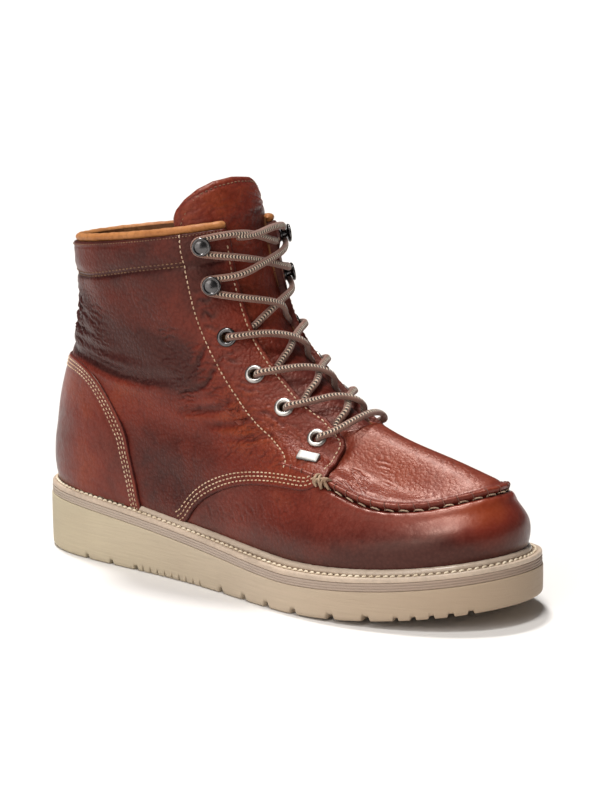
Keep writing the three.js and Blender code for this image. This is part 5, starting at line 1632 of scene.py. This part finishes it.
# ---------------------------------------------------------------- floor, light, camera
fm, fnt, fb = material("floor")
fb.inputs["Base Color"].default_value = (0.76, 0.745, 0.73, 1)
fb.inputs["Roughness"].default_value = 0.75
fb.inputs["Specular IOR Level"].default_value = 0.1
fb.inputs["Emission Color"].default_value = (1, 1, 1, 1)
fb.inputs["Emission Strength"].default_value = 0.0
me = bpy.data.meshes.new("floor")
ring = [(70 * math.cos(a), 70 * math.sin(a), 0.0) for a in np.linspace(0, 2 * PI, 64, endpoint=False)]
me.from_pydata(ring, [], [list(range(64))])
me.materials.append(fm)
floor = bpy.data.objects.new("floor", me)
bpy.context.scene.collection.objects.link(floor)

world = bpy.data.worlds.new("studio")
bpy.context.scene.world = world
world.use_nodes = True
bg = world.node_tree.nodes["Background"]
bg.inputs[0].default_value = (1.0, 0.995, 0.99, 1)
bg.inputs[1].default_value = 0.09

CAM_R = Vector((0.77946, 0.6264, -0.00739))
CAM_U = Vector((-0.1133, 0.15256, 0.98178))
CAM_F = Vector((-0.61612, 0.76442, -0.18989))


def area(name, pos, target, size, power, colour=(1, 1, 1)):
    l = bpy.data.lights.new(name, "AREA")
    l.shape, l.size, l.size_y, l.energy, l.color = "RECTANGLE", size[0], size[1], power, colour
    o = bpy.data.objects.new(name, l)
    bpy.context.scene.collection.objects.link(o)
    o.location = pos
    o.rotation_mode = "QUATERNION"
    o.rotation_quaternion = (Vector(target) - Vector(pos)).to_track_quat("-Z", "Y")
    return o


RH = Vector((CAM_R.x, CAM_R.y, 0)).normalized()
FH = Vector((CAM_F.x, CAM_F.y, 0)).normalized()
UP = Vector((0, 0, 1))
AIM = Vector((0.02, 0, 0.09))


def sun(name, direction, strength, spread, colour=(1, 1, 1)):
    """A far soft light; direction points to it."""
    l = bpy.data.lights.new(name, "SUN")
    l.energy, l.angle, l.color = strength, math.radians(spread), colour
    o = bpy.data.objects.new(name, l)
    bpy.context.scene.collection.objects.link(o)
    o.rotation_mode = "QUATERNION"
    o.rotation_quaternion = (-Vector(direction)).to_track_quat("-Z", "Y")
    return o


sun("key", -RH * 0.12 + UP * 0.95 + FH * 0.31, 2.35, 8, (1, 0.985, 0.965))
sun("top", -RH * 0.10 + UP * 0.97 - FH * 0.22, 1.65, 13, (1, 0.985, 0.965))
sun("front", -RH * 0.30 - FH * 0.62 + UP * 0.70, 0.60, 30, (1, 0.955, 0.92))
sun("fill", -RH * 0.62 - FH * 0.8 + UP * 0.20, 1.30, 60, (1, 0.965, 0.935))

cam_data = bpy.data.cameras.new("camera")
cam = bpy.data.objects.new("camera", cam_data)
bpy.context.scene.collection.objects.link(cam)
# the photograph's eye point, turned about itself until the one boot is in the middle
ahead = (CAM_F - CAM_R * (34.0 / 1950) - CAM_U * (3.0 / 1950)).normalized()
right = (CAM_R - ahead * CAM_R.dot(ahead)).normalized()
above = right.cross(ahead)
M = Matrix.Identity(4)
for i in range(3):
    M[i][0], M[i][1], M[i][2] = right[i], above[i], -ahead[i]
M.translation = Vector((0.85847, -1.01273 + Y0 / 1000, 0.3515))
cam.matrix_world = M
ZOOM = 1.34
cam_data.sensor_width = 36
cam_data.lens = 87.79 * ZOOM
cam_data.clip_start, cam_data.clip_end = 0.05, 300
bpy.context.scene.camera = cam
bpy.context.scene.view_settings.view_transform = "Standard"
